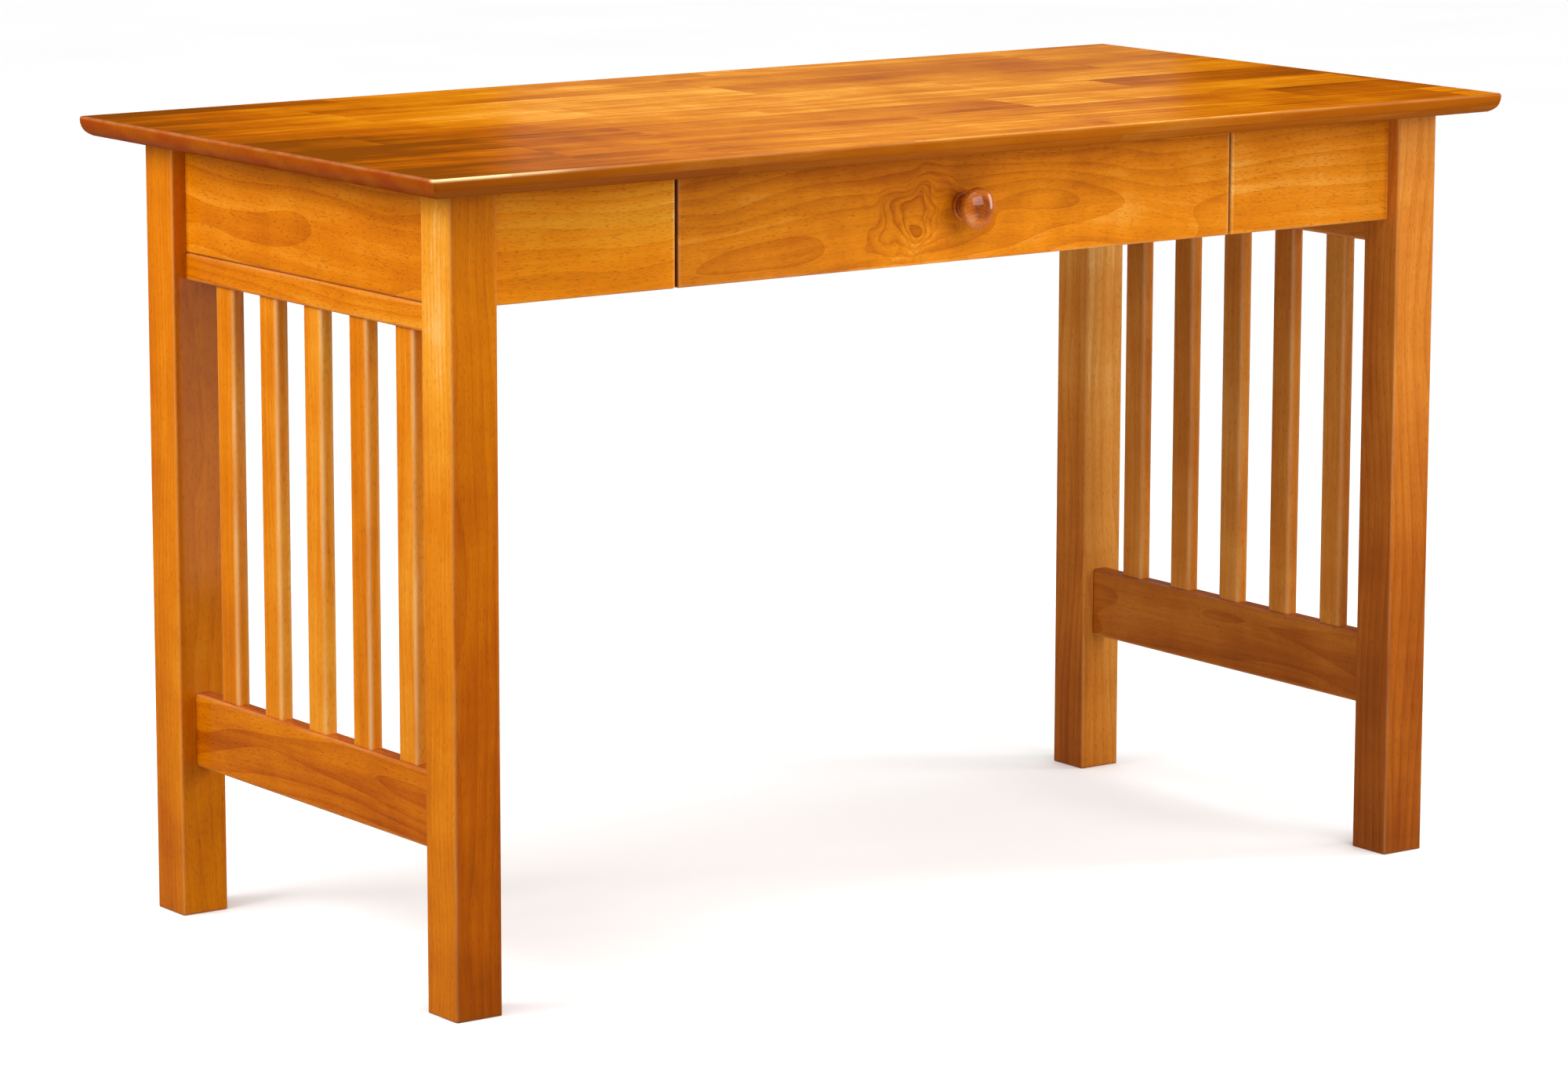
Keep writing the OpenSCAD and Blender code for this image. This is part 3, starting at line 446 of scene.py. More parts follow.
# %% The turned knob
KNOB_SIDES = 72
FOOT_D, RING_D, NECK_D = 27 * MM, 23 * MM, 15 * MM
STEP, RIM, DOME = 4 * MM, 5 * MM, 34 * MM


def arc(centre, radius, start, stop, steps):
    """Points (radius, height) on a circle from one angle to another, in degrees."""
    a = np.radians(np.linspace(start, stop, steps))
    return np.stack([centre[0] + radius * np.cos(a), centre[1] + radius * np.sin(a)], 1)


def knob_profile(length, head):
    """Radius and height of the knob's outline. The dome's circle touches the rim's from
    inside: the distance between their centres is dome - rim. The cone is the straight line
    from the neck that touches the rim."""
    rim_r, dome_z = head / 2 - RIM, length - DOME
    rim_at = np.array([rim_r, dome_z + math.sqrt((DOME - RIM) ** 2 - rim_r**2)])
    cone = rim_at - np.array([NECK_D / 2, 3 * STEP])
    lean = math.degrees(math.atan2(cone[1], cone[0]) - math.asin(RIM / float(np.hypot(*cone))))
    touch = math.degrees(math.atan2(rim_at[1] - dome_z, rim_r))
    ease = STEP / 2
    foot_r, ring_r, neck_r = FOOT_D / 2, RING_D / 2, NECK_D / 2
    parts = [
        [[foot_r - ease, 0.0], [foot_r, ease * 0.5]],
        arc((foot_r - ease, STEP - ease), ease, 0, 90, 7),
        [[ring_r - ease * 0.9, STEP + 0.1 * MM], [ring_r, STEP + ease * 0.6]],
        arc((ring_r - ease, 2 * STEP - ease), ease, 0, 90, 7),
        [[neck_r + 0.6 * MM, 2 * STEP], [neck_r, 2 * STEP + 1 * MM], [neck_r, 3 * STEP - 0.5 * MM]],
        arc(rim_at, RIM, lean - 90, touch, 18),
        arc((0, dome_z), DOME, touch, 89, 16)[1:],
    ]
    return np.concatenate([np.asarray(part, float) for part in parts])


def make_knob():
    """x = radius cos t, z = radius sin t, and the height counts outwards along -Y. The slimmer
    the knob is at a point, the deeper that point lies in a groove."""
    low, high = (np.array(corner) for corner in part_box("drawer_knob"))
    profile = knob_profile(high[1] - low[1], high[0] - low[0])
    turn = np.linspace(0, 2 * np.pi, KNOB_SIDES, endpoint=False)
    radius, out = profile[:, :1], profile[:, 1:] + 0 * turn
    middle = (low[2] + high[2]) / 2
    points = np.stack([radius * np.cos(turn), high[1] - out, radius * np.sin(turn) + middle], -1)
    groove = np.interp(profile[:, 0], [8 * MM, 13 * MM], [1.0, 0.0])
    rings = (len(profile), KNOB_SIDES)
    return make_piece("wood_drawer_knob", points, ring_faces(*rings) + end_caps(*rings),
                      groove=np.repeat(groove, KNOB_SIDES))


pieces["drawer_knob"] = stands_for(make_knob(), "drawer_knob", "drawer")
print("knob:", len(pieces["drawer_knob"].data.vertices), "points")

# %% [markdown]
# ## Writing a finish in code
# A finish is a graph of nodes. Written out by hand, such a graph is long and hard to read, so
# a small class keeps it short: each call adds one node and returns the socket where its result
# comes out, and a sum of calls reads like a formula.

# %% A short way to write node graphs
class Finish:
    """A material under construction. Each method adds one node and returns its output."""

    def __init__(self, name):
        self.material = bpy.data.materials.new(name)
        self.material.use_nodes = True
        self.tree = self.material.node_tree
        self.tree.nodes.clear()

    def add(self, kind, inputs=(), **settings):
        """One node: a socket among the inputs is linked, and a plain value is set."""
        node = self.tree.nodes.new("ShaderNode" + kind)
        for key, value in settings.items():
            setattr(node, key, value)
        for key, value in dict(inputs).items():
            if isinstance(value, bpy.types.NodeSocket):
                self.tree.links.new(value, node.inputs[key])
            else:
                node.inputs[key].default_value = value
        return node

    def sum(self, operation, a, b=0.0, c=0.0, clamp=False):
        """Arithmetic with numbers."""
        node = self.add("Math", {0: a, 1: b, 2: c}, operation=operation, use_clamp=clamp)
        return node.outputs[0]

    def vector(self, operation, a, b=(0, 0, 0)):
        """Arithmetic with vectors."""
        node = self.add("VectorMath", {0: a, 1: b}, operation=operation)
        return node.outputs["Value" if operation == "LENGTH" else "Vector"]

    def onto(self, start, value, share):
        """Lays a share of one value onto another: start + share * value."""
        return self.sum("MULTIPLY_ADD", value, share, start)

    def sway(self, noise, share, start):
        """Moves a value up or down with a noise: start + share * (noise - 0.5)."""
        return self.onto(start, self.sum("SUBTRACT", noise, 0.5), share)

    def number(self, name):
        """A number stored with the piece's points."""
        return self.add("Attribute", attribute_name=name).outputs["Fac"]

    def place(self, name):
        """A place stored with the piece's points."""
        return self.add("Attribute", attribute_name=name).outputs["Vector"]

    def object_place(self):
        """The place in the object's own axes."""
        return self.add("TexCoord").outputs["Object"]

    def split(self, vector):
        """The three numbers of a vector."""
        return self.add("SeparateXYZ", {0: vector}).outputs

    def join(self, x, y, z):
        """A vector from three numbers."""
        return self.add("CombineXYZ", {0: x, 1: y, 2: z}).outputs[0]

    def noise(self, where, stretch, detail=2.0, rough=0.5, output="Fac"):
        """Smooth noise. The stretch is the number of its waves in a metre along each axis."""
        at = self.vector("MULTIPLY", where, stretch)
        values = {"Vector": at, "Scale": 1.0, "Detail": detail, "Roughness": rough}
        return self.add("TexNoise", values).outputs[output]

    def dice(self, x, y, output="Value"):
        """Chance numbers that depend only on two whole numbers."""
        node = self.add("TexWhiteNoise", {"Vector": self.join(x, y, 0.0)}, noise_dimensions="2D")
        return node.outputs[output]

    def fit(self, value, low, high, to_low=0.0, to_high=1.0, smooth=False):
        """Maps low..high to to_low..to_high and holds the ends."""
        kind = "SMOOTHSTEP" if smooth else "LINEAR"
        inputs = {0: value, 1: low, 2: high, 3: to_low, 4: to_high}
        return self.add("MapRange", inputs, interpolation_type=kind).outputs[0]

    def ramp(self, value, stops):
        """A colour from a row of colours."""
        node = self.add("ValToRGB", {0: value})
        band = node.color_ramp
        while len(band.elements) < len(stops):
            band.elements.new(0.5)
        for element, (at, colour) in zip(band.elements, stops):
            element.position, element.color = at, (*colour, 1.0)
        return node.outputs[0]

    def mix(self, share, a, b):
        """Colour a where the share is 0, and colour b where it is 1."""
        a, b = (c if isinstance(c, bpy.types.NodeSocket) else (*c, 1.0) for c in (a, b))
        return self.add("Mix", {0: share, 6: a, 7: b}, data_type="RGBA").outputs[2]

    def bump(self, height, distance, strength):
        """Tilts the surface's normal as if it had this height."""
        inputs = {"Height": height, "Distance": distance, "Strength": strength}
        return self.add("Bump", inputs).outputs[0]

    def shade(self, **sockets):
        """The surface itself. A number that is the same all over is set on its own socket."""
        shader = self.add("BsdfPrincipled", {k.replace("_", " "): v for k, v in sockets.items()})
        out = self.add("OutputMaterial")
        self.tree.links.new(shader.outputs[0], out.inputs[0])
        return self.material


print("a finish knows", len([step for step in vars(Finish) if step[0] != "_"]), "kinds of step")

# %% [markdown]
# ## The stain's colours
# The whole desk has one honey stain, but it takes differently on each kind of board: browner
# on the right end, brighter on the left panel, duller on the face of the top. The browner row
# of the right end also paints the shade on the inner faces seen there, and the paler, greyer
# row of the right panel and the drawer's face paints a sheen. Each kind gets its own row of
# colours, from the darkest year ring to the palest cloud, and a colour ramp fades from one to
# the next. That is closer to real stain than one colour made lighter and darker, because
# stained wood also turns redder where it is dark.

# %% Colours of the stained boards
def rgb(r, g, b):
    """A colour as a screen shows it, 0 to 255, turned into the linear light that shaders use."""
    c = np.array([r, g, b]) / 255
    return tuple(np.where(c <= 0.04045, c / 12.92, ((c + 0.055) / 1.055) ** 2.4).tolist())


STOPS = (0.0, 0.28, 0.56, 0.82, 1.0)
PALE = rgb(252, 204, 128)


def stain_row(*colours, stops=STOPS):
    """Colours from dark to light, each with its place on the ramp."""
    return list(zip(stops, colours))


BOARD_TONES = stain_row(
    rgb(136, 58, 0), rgb(184, 88, 1), rgb(218, 122, 3), rgb(238, 156, 40), PALE)
# browner colours for the right end: partly the boards' own tone, partly painted shade on the inner
# faces seen there
BROWN_SHADE_TONES = stain_row(
    rgb(138, 64, 14), rgb(176, 92, 22), rgb(208, 124, 40), rgb(230, 156, 68), rgb(252, 202, 122))
# the paler, greyer upper colours of this row paint a sheen on the right panel and the drawer's face
FRONT_TONES_WITH_SHEEN = stain_row(
    rgb(146, 66, 4), rgb(186, 98, 10), rgb(220, 129, 16), rgb(238, 164, 62), PALE)
LEFT_PANEL_TONES = stain_row(
    rgb(150, 68, 2), rgb(200, 106, 6), rgb(234, 136, 8), rgb(248, 166, 36), PALE)
TOP_TONES = stain_row(
    rgb(112, 56, 0), rgb(158, 80, 0), rgb(192, 116, 6), rgb(226, 164, 62), rgb(248, 208, 124),
    stops=(0.0, 0.28, 0.55, 0.8, 1.0))
KNOB_TONES = stain_row(
    rgb(84, 28, 4), rgb(170, 82, 16), rgb(214, 122, 36), rgb(236, 156, 70),
    stops=(0.0, 0.35, 0.7, 1.0))
INNER_TONES = stain_row(
    rgb(150, 92, 40), rgb(200, 140, 74), rgb(226, 176, 112), rgb(240, 204, 150),
    stops=(0.0, 0.4, 0.75, 1.0))
print("a board's stain fades through", len(BOARD_TONES), "colours")

# %% [markdown]
# ## Wood
# A plank is a cut through a log, so its figure is worked out as a log: year rings are circles
# round the heart, bent by slow noise, and the plank shows where it crosses them. On top of
# that lie long fibres, short dark pores that are stretched along the grain, and flames and
# wide clouds, where the fibres lean and the lacquered wood looks more golden.

# %% The figure of a plank
MIDDLE_TONE = 0.54
DRIFT_WAVES, CLOUD_WAVES, FLAME_WAVES = (6, 6, 2.0), (16, 16, 2.4), (9, 9, 16)
FIBRE_WAVES, PORE_WAVES, STREAK_WAVES = (330, 330, 9), (1100, 1100, 170), 80
FIBRE_SHARE, RING_RISE = 0.24, 2.5
PORE_FROM, PORE_TO = 0.6, 0.74
YEAR_RING = 7 * MM


def wood_figure(f, where, tone, ring_width=YEAR_RING, ring_share=0.1, cloud_share=0.6,
                streak_share=0.3, patch=2.6, bend=0.05, flame_share=0.32):
    """Adds the figure of a plank. `where` is the place in the log: across, across, along.
    Ring number = distance from the bent heart / ring width, and its fraction rises slowly and
    drops at once, as summer wood does. Lightness = middle tone + tone + each noise's share of
    its sway - the ring's share. Returns the lightness 0..1, the pores and the fibres."""
    drift = f.noise(where, DRIFT_WAVES, output="Color")
    drift = f.vector("MULTIPLY", f.vector("SUBTRACT", drift, (0.5, 0.5, 0.5)), (bend, bend, 0.0))
    bent = f.vector("ADD", where, drift)
    flat = f.vector("MULTIPLY", bent, (1, 1, 0))
    number = f.sum("DIVIDE", f.vector("LENGTH", flat), ring_width)
    line = f.sum("POWER", f.sum("FRACT", number), RING_RISE)
    cloud = f.noise(where, CLOUD_WAVES, 2.5)
    fibre = f.noise(bent, FIBRE_WAVES, 3.0, 0.6)
    streak = f.noise(bent, (STREAK_WAVES, STREAK_WAVES, patch))
    flame = f.noise(bent, FLAME_WAVES, 3.0, 0.6)
    pores = f.fit(f.noise(bent, PORE_WAVES, 0.0), PORE_FROM, PORE_TO, smooth=True)
    light = f.sway(cloud, cloud_share, MIDDLE_TONE)
    light = f.sway(fibre, FIBRE_SHARE, light)
    light = f.sway(streak, streak_share, light)
    light = f.sway(flame, flame_share, light)
    light = f.onto(light, line, -ring_share)
    return f.sum("ADD", light, tone), pores, fibre


print("year rings", YEAR_RING / MM, "mm apart, fibres", round(1000 / FIBRE_WAVES[0]), "mm")

# %% [markdown]
# ## Stain, sanded edges with painted highlights, and lacquer
# Stain colours the wood and is darkest in the pores. On an arris it was sanded thin, and that
# lighter arris also stands for the highlight that it catches, so it is partly a painted
# highlight. In a tight joint the stain gathered. Over it lies the lacquer, a second, smoother
# layer that sinks a little into the pores. Every board gets these three steps, so each step is
# one function.

# %% Stain, sanded edges with painted highlights, and lacquer
PORE = rgb(118, 50, 4)
# the pale colour of a sanded arris, which is also its painted highlight
RUBBED_AND_HIGHLIGHT = rgb(255, 220, 158)
RUB_WAVES = (60, 60, 9)
SEAM_STAIN = 0.85
DULLER, PORE_SINK, FIBRE_RISE = 0.12, 0.7, 0.35
LACQUER_DEPTH, LACQUER_IOR = 0.12 * MM, 1.4


def wood_colour(f, light, pores, pore_share, row):
    """The row's colour at this lightness, darker in the pores."""
    return f.mix(f.sum("MULTIPLY", pores, pore_share), f.ramp(light, row), PORE)


def rub_and_highlight_edges(f, where, colour, wear, share):
    """Lightens an arris by its value * a patchy noise * share: partly stain sanded thin there,
    partly a painted highlight where the arris catches the light. Darkens one whose value is
    below zero, where stain has gathered in a joint."""
    patchy = f.fit(f.noise(where, RUB_WAVES), 0.3, 0.65, 0.25, 1.0)
    rub_and_highlight = f.sum("MULTIPLY", f.sum("MAXIMUM", wear, 0.0), patchy)
    darkened = f.sum("MAXIMUM", f.sum("MULTIPLY", wear, -1.0), 0.0)
    colour = f.mix(f.sum("MULTIPLY", rub_and_highlight, share, clamp=True), colour, RUBBED_AND_HIGHLIGHT)
    return f.mix(f.sum("MULTIPLY", darkened, SEAM_STAIN), colour, PORE)


def lacquer(f, colour, pores, fibre, gloss=0.34, coat=0.3, level=0.05, coat_rough=0.1):
    """Roughness = gloss + DULLER * (fibre - 0.5 + pores), and the surface stands FIBRE_RISE *
    fibre - PORE_SINK * pores high, in units of LACQUER_DEPTH."""
    rough = f.onto(f.sway(fibre, DULLER, gloss), pores, DULLER)
    height = f.onto(f.sum("MULTIPLY", fibre, FIBRE_RISE), pores, -PORE_SINK)
    return f.shade(
        Base_Color=colour, Roughness=rough, Normal=f.bump(height, LACQUER_DEPTH, 0.5),
        Specular_IOR_Level=level, Coat_Weight=coat, Coat_Roughness=coat_rough,
        Coat_IOR=LACQUER_IOR,
    )


print("the lacquer sinks up to", round(PORE_SINK * LACQUER_DEPTH / MM, 3), "mm into a pore")

# %% [markdown]
# ## Dressing the boards
# Every board was given its numbers when it was made, so one recipe serves them all. What
# differs from kind to kind is how strongly rings, pores and streaks show, how much the arrises
# are sanded lighter, which also paints their highlights, and which row of colours is used. The
# rails of the left end face the light and show their pores best, and the slats' arrises carry
# the strongest sanded look and painted highlight.

# %% Boards in their finish
FRAME_KINDS = ("leg_", "side_apron", "upper_rail", "lower_rail", "back_apron")


def board_wood(name, tone=0.0, ring_share=0.1, pore_share=0.24, end_tone=-0.25,
               tones=BOARD_TONES, rub_and_highlight=0.16, streak=0.3):
    """The wood of a board: its place in the log, tone, edge lightening (sanding and painted
    highlight) and end grain are stored with its points. Tone = the board's own + the finish's +
    end_tone where end grain shows."""
    f = Finish(name)
    where = f.place("grain")
    lift = f.sum("ADD", f.number("tone"), tone)
    lift = f.onto(lift, f.number("end"), end_tone)
    light, pores, fibre = wood_figure(f, where, lift, ring_share=ring_share, streak_share=streak)
    colour = wood_colour(f, light, pores, pore_share, tones)
    return lacquer(f, rub_and_highlight_edges(f, where, colour, f.number("wear"), rub_and_highlight), pores, fibre)


def dress(material, *names):
    """Gives the named pieces one material each on their only slot."""
    for name in names:
        mesh = pieces[name].data
        mesh.materials.clear()
        mesh.materials.append(material)
    print(material.name, "on", len(names), "pieces")


frame_boards = [name for name in pieces if name.startswith(FRAME_KINDS)]
dress(board_wood("frame wood", ring_share=0.08, streak=0.12),
      *[name for name in frame_boards if not name.endswith("right")])
# the right end's boards in browner colours, partly painted shade
dress(board_wood("brown wood", ring_share=0.12, tones=BROWN_SHADE_TONES, rub_and_highlight=0.12, streak=0.2),
      *[name for name in frame_boards if name.endswith("right")])
dress(board_wood("rail wood", ring_share=0.15, pore_share=0.34),
      "side_apron_left", "upper_rail_left", "lower_rail_left")
dress(board_wood("slat wood", 0.03, ring_share=0.07, rub_and_highlight=0.5),
      *[name for name in pieces if name.startswith("slat_left")])
dress(board_wood("brown slat wood", 0.04, ring_share=0.07, tones=BROWN_SHADE_TONES, rub_and_highlight=0.3,
                 streak=0.2),
      *[name for name in pieces if name.startswith("slat_right")])
# the right panel's colours carry a painted sheen, the left panel's do not
for side, row in (("left", LEFT_PANEL_TONES), ("right", FRONT_TONES_WITH_SHEEN)):
    dress(board_wood("panel wood " + side, ring_share=0.13, pore_share=0.36, end_tone=0.1,
                     tones=row, rub_and_highlight=0.22),
          "front_panel_" + side)

# %% [markdown]
# ## The drawer's face
# The face is the show board of the desk. Left of the knob a branch once grew through it: the
# year rings run round a knot there, and the grain beside it flows out of its way. The figure
# is therefore taken from a place that is pushed aside near the knot, and rings round the knot
# are laid over it. The sawn ends are darkened, partly as end grain that drank more stain and
# partly as painted shade, which keeps the gaps beside the drawer dark.

# %% Figured wood for the drawer face
KNOT_AT = (-0.054, -0.236, 0.672)
KNOT_SHAPE = (0.8, 0.0, 1.1)
KNOT_SWIRL = (0.07, 0, 0.06)
KNOT_REACH, KNOT_HEART, KNOT_RING = 50 * MM, 14 * MM, 9 * MM
KNOT_PUSH = (0.035, -0.02)
RINGS_DARKER, HEART_DARKER = 0.32, 0.25
FACE_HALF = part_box("drawer_face")[1].x
# dark ends of the face: end grain stain, and painted shade in the gaps
END_STAIN_AND_GAP_SHADE = rgb(88, 40, 8)


def knot_distance(f, where):
    """How far a point lies from the knot, as an oval whose outline a noise makes uneven."""
    away = f.vector("MULTIPLY", f.vector("SUBTRACT", f.object_place(), KNOT_AT), KNOT_SHAPE)
    swirl = f.noise(where, (26, 26, 26), 1.0, output="Color")
    swirl = f.vector("MULTIPLY", f.vector("SUBTRACT", swirl, (0.5, 0.5, 0.5)), KNOT_SWIRL)
    return f.vector("LENGTH", f.vector("ADD", away, swirl))


def figured_wood():
    """The pull of the knot is 1 at its heart and 0 from KNOT_REACH on. The place in the log is
    pushed off by it, and rings of distance / KNOT_RING darken the wood by it."""
    f = Finish("drawer face wood")
    where = f.place("grain")
    distance = knot_distance(f, where)
    pull = f.fit(distance, 0.0, KNOT_REACH, 1.0, 0.0, smooth=True)
    x, y, z = f.split(where)[:3]
    pushed = f.join(*[f.onto(c, pull, p) for p, c in zip(KNOT_PUSH, (x, y))], z)
    light, pores, fibre = wood_figure(
        f, pushed, f.number("tone"), ring_share=0.16, bend=0.12, flame_share=0.5)
    rings = f.sum("POWER", f.sum("FRACT", f.sum("DIVIDE", distance, KNOT_RING)), 3.0)
    rings = f.sum("MULTIPLY", rings, f.sum("POWER", pull, 0.6))
    heart = f.fit(distance, 0.0, KNOT_HEART, 1.0, 0.0, smooth=True)
    light = f.onto(light, rings, -RINGS_DARKER)
    light = f.onto(light, heart, -HEART_DARKER)
    colour = wood_colour(f, light, pores, 0.3, FRONT_TONES_WITH_SHEEN)
    colour = rub_and_highlight_edges(f, where, colour, f.number("wear"), 0.22)
    from_middle = f.sum("ABSOLUTE", f.split(f.object_place())[0])
    # the ends darken: end grain stain, and painted shade in the gaps beside the drawer
    darkened = f.fit(from_middle, FACE_HALF - 0.9 * MM, FACE_HALF - 0.2 * MM, 0.0, 0.8)
    return lacquer(f, f.mix(darkened, colour, END_STAIN_AND_GAP_SHADE), pores, fibre)


dress(figured_wood(), "drawer_face")

# %% [markdown]
# ## The top's staves
# The top is glued from strips, and every strip from shorter lengths, so its colour jumps from
# one patch to the next. The shader finds the strip from the place across the top, throws the
# dice for where its lengths begin, and throws them again for each length's tone and for its
# place in the log.

# %% Staves: where they lie and how light they are
STAVE_WIDTH = 81 * MM
STAVE_LENGTH = 430 * MM
STAVE_START = 264 * MM
DICE_SPREAD, DICE_LEVEL = 0.34, -0.15
# the second of these darkens both ends of the top, which leaves a painted sheen in its middle
GRAIN_DARKER, MIDDLE_SHEEN_SHARE, LEFT_DARKER = 0.22, 0.22, 0.3
RIM_EVENED, JOINT_SHARE = 0.7, 0.5


def stave_grid(f, x, y):
    """Across = (start - y) / width, and the strip is its floor. Along = x / length + the
    strip's own dice, and the length is its floor. Returns all four."""
    across = f.sum("DIVIDE", f.sum("SUBTRACT", STAVE_START, y), STAVE_WIDTH)
    strip = f.sum("FLOOR", across)
    shift = f.sum("MULTIPLY", f.dice(strip, 3.0), 7.0)
    along = f.sum("ADD", f.sum("DIVIDE", x, STAVE_LENGTH), shift)
    return across, strip, along, f.sum("FLOOR", along)


def stave_place(f, x, y, z, strip, piece):
    """Each length's own place in the log: the point moved by the length's dice, with the grain
    along X."""
    chance = f.split(f.dice(strip, piece, "Color"))
    u = f.sum("ADD", y, f.sum("MULTIPLY", chance[0], 0.31))
    v = f.sum("ADD", z, f.onto(-0.66, chance[1], 0.2))
    return f.join(u, v, f.sum("ADD", x, f.sum("MULTIPLY", chance[2], 9.0)))


def stave_tone(f, x, strip, piece, rim):
    """Each length's dice, darker on end grain, darker towards both ends, which leaves a painted
    sheen on the middle of the top, and most towards the left, and evened out on the rim, which
    took its stain in one go."""
    tone = f.dice(strip, f.sum("ADD", piece, 31.0))
    tone = f.onto(DICE_LEVEL, tone, DICE_SPREAD)
    tone = f.onto(tone, f.number("end"), -GRAIN_DARKER)
    # painted sheen: the middle of the top is lighter than its ends
    tone = f.onto(tone, f.fit(f.sum("ABSOLUTE", x), 0.1, 0.6), -MIDDLE_SHEEN_SHARE)
    tone = f.onto(tone, f.fit(x, -0.3, -0.6), -LEFT_DARKER)
    return f.sum("MULTIPLY", tone, f.onto(1.0, rim, -RIM_EVENED))


def stave_joints(f, across, along):
    """JOINT_SHARE on the fine dark lines where two strips or two lengths meet, else 0:
    pingpong is 0 at every whole number."""
    joint = f.fit(f.sum("PINGPONG", across, 0.5), 0.0, 0.006, 1.0, 0.0)
    butt = f.fit(f.sum("PINGPONG", along, 0.5), 0.0, 0.0012, 1.0, 0.0)
    return f.sum("MULTIPLY", f.sum("MAXIMUM", joint, butt), JOINT_SHARE)


print("staves", round(STAVE_WIDTH / MM), "mm wide and", round(STAVE_LENGTH / MM), "mm long")

# %% [markdown]
# ## The top's finish
# The staves are one surface, stained and lacquered together. The rim drank more stain than
# the face, and its end grain drank it in blotches. The upper arris is sanded a little lighter
# all round, and at the front left corner it carries a painted highlight. Doing this in the
# shader, by height and by place, keeps the slab a single simple mesh.

# %% Stave wood for the top
TOP_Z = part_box("desk_top")[1].z
RIM_FROM, RIM_TO, RIM_SHARE = TOP_Z - 0.4 * MM, TOP_Z - 1.6 * MM, 0.7
RIM_STAIN = rgb(158, 75, 6)
END_GRAIN = rgb(146, 54, 6)
BLOTCH_WAVES = (20, 24, 60)


def stave_wood():
    """The staves' figure and joints, then the stain of the rim and of the end grain, and the
    arrises, sanded a little lighter all round, with a painted highlight at the front left
    corner."""
    f = Finish("top wood")
    x, y, z = f.split(f.object_place())[:3]
    across, strip, along, piece = stave_grid(f, x, y)
    where = stave_place(f, x, y, z, strip, piece)
    rim = f.fit(z, RIM_FROM, RIM_TO)
    end = f.number("end")
    calm = f.onto(0.62, end, -0.4)
    light, pores, fibre = wood_figure(
        f, where, stave_tone(f, x, strip, piece, rim), ring_share=0.12, cloud_share=calm,
        streak_share=f.sum("MULTIPLY", calm, 0.7), patch=4.5, flame_share=0.38)
    colour = wood_colour(f, light, pores, 0.25, TOP_TONES)
    colour = f.mix(stave_joints(f, across, along), colour, PORE)
    colour = f.mix(f.sum("MULTIPLY", rim, RIM_SHARE), colour, RIM_STAIN)
    blotch = f.fit(f.noise(f.object_place(), BLOTCH_WAVES), 0.35, 0.62, 0.15, 0.8)
    colour = f.mix(f.sum("MULTIPLY", end, blotch), colour, END_GRAIN)
    # painted highlight on the upper arris at the front left corner
    corner = f.sum("MULTIPLY", f.fit(x, -0.42, -0.56, smooth=True), f.fit(y, -0.296, -0.302))
    rub_and_highlight = f.onto(0.1, corner, 0.8)
    colour = rub_and_highlight_edges(f, where, colour, f.number("wear"), rub_and_highlight)
    return lacquer(f, colour, pores, fibre, gloss=0.3, coat=0.16, level=0.0, coat_rough=0.2)


dress(stave_wood(), "desk_top")

# %% [markdown]
# ## The knob's wood
# The knob is darker and shinier than the boards. It was turned with its grain along its axis,
# so its face shows end grain, and the wood is darker in the grooves.

# %% Dark turned wood
def turned_wood():
    """Year rings round a heart just under the knob, with the grain along Y."""
    f = Finish("knob wood")
    x, y, z = f.split(f.object_place())[:3]
    where = f.join(x, f.sum("SUBTRACT", z, 0.66), y)
    light, pores, fibre = wood_figure(f, where, -0.08, ring_width=3 * MM, ring_share=0.12)
    light = f.onto(light, f.number("groove"), -0.3)
    return lacquer(f, f.ramp(light, KNOB_TONES), pores, fibre, gloss=0.22, coat=0.8)


dress(turned_wood(), "drawer_knob")

# %% [markdown]
# ## What keeps its frame shape
# The drawer's box, the bearers, the blocks, the screws, the slides and the rollers are right
# as they are. They only need a finish: plain lacquered wood, zinc plate, white enamel and
# nylon. Each is painted on the node's own material slots.

# %% Plain wood, steel and nylon
def plain_wood():
    """Unstained wood with a thin lacquer and the grain along Y."""
    f = Finish("plain wood")
    x, y, z = f.split(f.object_place())[:3]
    where = f.join(f.sum("SUBTRACT", x, 0.4), f.sum("SUBTRACT", z, 0.3), y)
    light, pores, fibre = wood_figure(f, where, 0.06, ring_share=0.12)
    colour = wood_colour(f, light, pores, 0.4, INNER_TONES)
    return lacquer(f, colour, pores, fibre, gloss=0.42, coat=0.15)


def smooth_finish(name, colour, dull, metallic, rough, grain):
    """Plated or painted steel, or nylon: fine grain in the gloss, and faint stains."""
    f = Finish(name)
    where = f.object_place()
    fine = f.noise(where, (grain, grain, grain))
    stain = f.noise(where, (60, 60, 60), 3.0)
    tint = f.mix(f.fit(stain, 0.35, 0.75), colour, dull)
    return f.shade(Base_Color=tint, Metallic=metallic, Roughness=f.sway(fine, 0.16, rough),
                   Normal=f.bump(fine, 0.04 * MM, 0.4))


finishes = {
    "plain_wood": plain_wood(),
    "zinc_steel": smooth_finish(
        "zinc plate", rgb(196, 198, 196), rgb(158, 160, 156), 1.0, 0.34, 900),
    "enamelled_steel": smooth_finish(
        "white enamel", rgb(232, 231, 226), rgb(214, 213, 206), 0.0, 0.32, 420),
    "nylon": smooth_finish(
        "nylon", rgb(226, 224, 214), rgb(200, 198, 188), 0.0, 0.5, 500),
}
kept = [node for node in nodes.values() if not node.hide_render]
for node in kept:
    for n, old in enumerate(node.data.materials):
        node.data.materials[n] = finishes[old.name.split(".")[0]]
print("frame nodes with a new finish:", len(kept))

# %% [markdown]
# ## The floor
# The studio is plain: a pale, matt floor that goes far past the picture. It catches the desk's
# soft shadows, but it is hidden from the wood's reflections and from its bounced light. The
# lower half of the sky gives those instead, and more evenly.

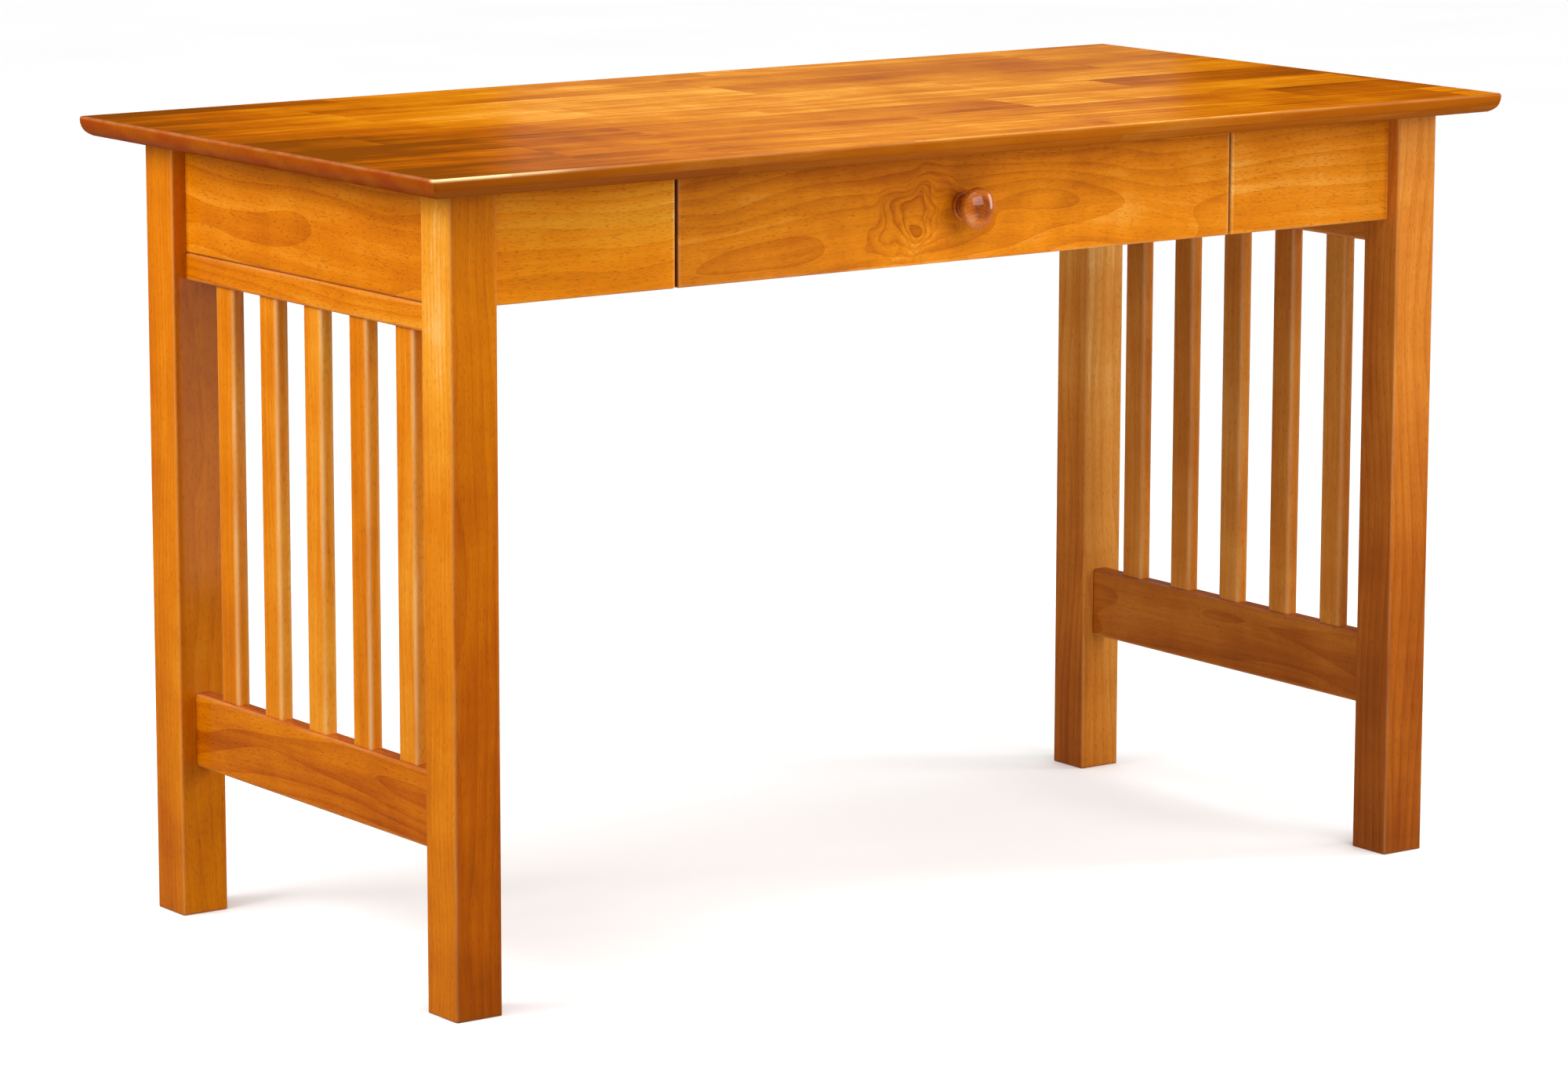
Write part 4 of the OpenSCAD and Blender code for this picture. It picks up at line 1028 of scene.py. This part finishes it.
# %% A pale floor
FLOOR_HALF = 30.0


def studio_floor():
    """One square on z = 0, hardly mottled: its grey varies between 0.90 and 0.93."""
    h = FLOOR_HALF
    mesh = bpy.data.meshes.new("floor")
    mesh.from_pydata([(-h, -h, 0), (h, -h, 0), (h, h, 0), (-h, h, 0)], [], [(0, 1, 2, 3)])
    floor = bpy.data.objects.new("floor", mesh)
    f = Finish("pale floor")
    shade = f.fit(f.noise(f.object_place(), (1.5, 1.5, 1.5)), 0.2, 0.8, 0.90, 0.93)
    grey = f.mix(shade, (0, 0, 0), (1, 1, 1))
    mesh.materials.append(f.shade(Base_Color=grey, Roughness=0.9))
    bpy.context.scene.collection.objects.link(floor)
    floor.visible_diffuse = floor.visible_glossy = False


studio_floor()
print("floor:", 2 * FLOOR_HALF, "m wide")

# %% [markdown]
# ## The sky
# The sky is bright overhead and dim near the floor, so that upright faces keep their colour
# and don't mirror a white wall. Below the horizon it stands for the light that a white floor
# sends back. Only the camera sees it as plain white.

# %% Studio sky
HORIZON, OVERHEAD, BOUNCE = 0.03, 2.7, 0.8


def studio_sky(horizon, overhead, bounce):
    """White to the camera. For everything else the brightness is horizon + overhead * up^3 +
    bounce * down, where up and down are the height of the direction above and below level."""
    world = bpy.data.worlds.new("studio")
    bpy.context.scene.world = world
    world.use_nodes = True
    tree = world.node_tree
    tree.nodes.clear()

    def node(kind, *inputs, **settings):
        made = tree.nodes.new("ShaderNode" + kind)
        for key, value in settings.items():
            setattr(made, key, value)
        for socket, value in zip(made.inputs, inputs):
            if isinstance(value, bpy.types.NodeSocket):
                tree.links.new(value, socket)
            else:
                socket.default_value = value
        return made.outputs

    def sums(operation, *inputs):
        return node("Math", *inputs, operation=operation)[0]

    height = node("SeparateXYZ", node("TexCoord")["Generated"])[2]
    up = sums("MAXIMUM", height, 0.0)
    down = sums("MAXIMUM", sums("MULTIPLY", height, -1.0), 0.0)
    light = sums("MULTIPLY_ADD", sums("POWER", up, 3.0), overhead, horizon)
    light = sums("MULTIPLY_ADD", down, bounce, light)
    seen = node("LightPath")["Is Camera Ray"]
    light = sums("MULTIPLY_ADD", seen, sums("SUBTRACT", 1.0, light), light)
    node("OutputWorld", node("Background", (1, 1, 1, 1), light)[0])


studio_sky(HORIZON, OVERHEAD, BOUNCE)
bpy.context.scene.view_settings.view_transform = "Standard"
print("sky: from", HORIZON, "at the horizon to", round(HORIZON + OVERHEAD, 2), "overhead")

# %% [markdown]
# ## The light
# Soft light comes from large boxes. The strongest stands to the left and lights the end frame,
# one in front and one above it light the drawer's front and the top, and one to the right
# reaches the inner faces of the legs. Four small ones finish the picture: one low on the left
# for the feet, a faint one under the top, one overhead that lays a sheen on the middle of the
# top, and a glow from behind.

# %% Softboxes
SOFTBOXES = {
    # name: place, what it points at, width and height, watts
    "softbox left": ((-2.0, 0.3, 1.4), (-0.5, 0, 0.5), (1.2, 1.0), 31),
    "softbox front": ((0.8, -2.5, 1.35), (0.0, -0.2, 0.7), (1.6, 1.0), 28),
    "softbox right": ((2.3, -1.0, 0.9), (0.3, 0, 0.55), (0.5, 1.2), 14),
    "softbox high": ((0.0, -1.6, 2.3), (0.0, -0.1, 0.7), (1.4, 1.0), 15),
    "softbox low left": ((-2.4, -2.1, 0.45), (-0.3, 0, 0.4), (0.9, 0.8), 6),
    "fill under the top": ((0.0, -0.6, 0.35), (0.5, 0.25, 0.4), (0.4, 0.4), 1.0),
    "strip overhead": ((0.6, -0.65, 2.5), (-0.3, -0.3, 0.75), (0.5, 0.5), 5),
    "glow behind": ((1.9, 2.5, 1.15), (0.1, 0, 0.75), (1.0, 0.7), 1.2),
}


def softbox(name, at, aim, size, watts):
    """A rectangular lamp that the camera doesn't see. A lamp shines along its own -Z, so its Z
    points from the aim to the lamp."""
    data = bpy.data.lights.new(name, "AREA")
    data.shape, data.size, data.size_y = "RECTANGLE", *size
    data.energy = watts
    lamp = bpy.data.objects.new(name, data)
    turn = (Vector(at) - Vector(aim)).to_track_quat("Z", "Y").to_matrix().to_4x4()
    lamp.matrix_world = Matrix.Translation(at) @ turn
    lamp.visible_camera = False
    bpy.context.scene.collection.objects.link(lamp)


for name, settings in SOFTBOXES.items():
    softbox(name, *settings)
print("softboxes:", len(SOFTBOXES))

# %% [markdown]
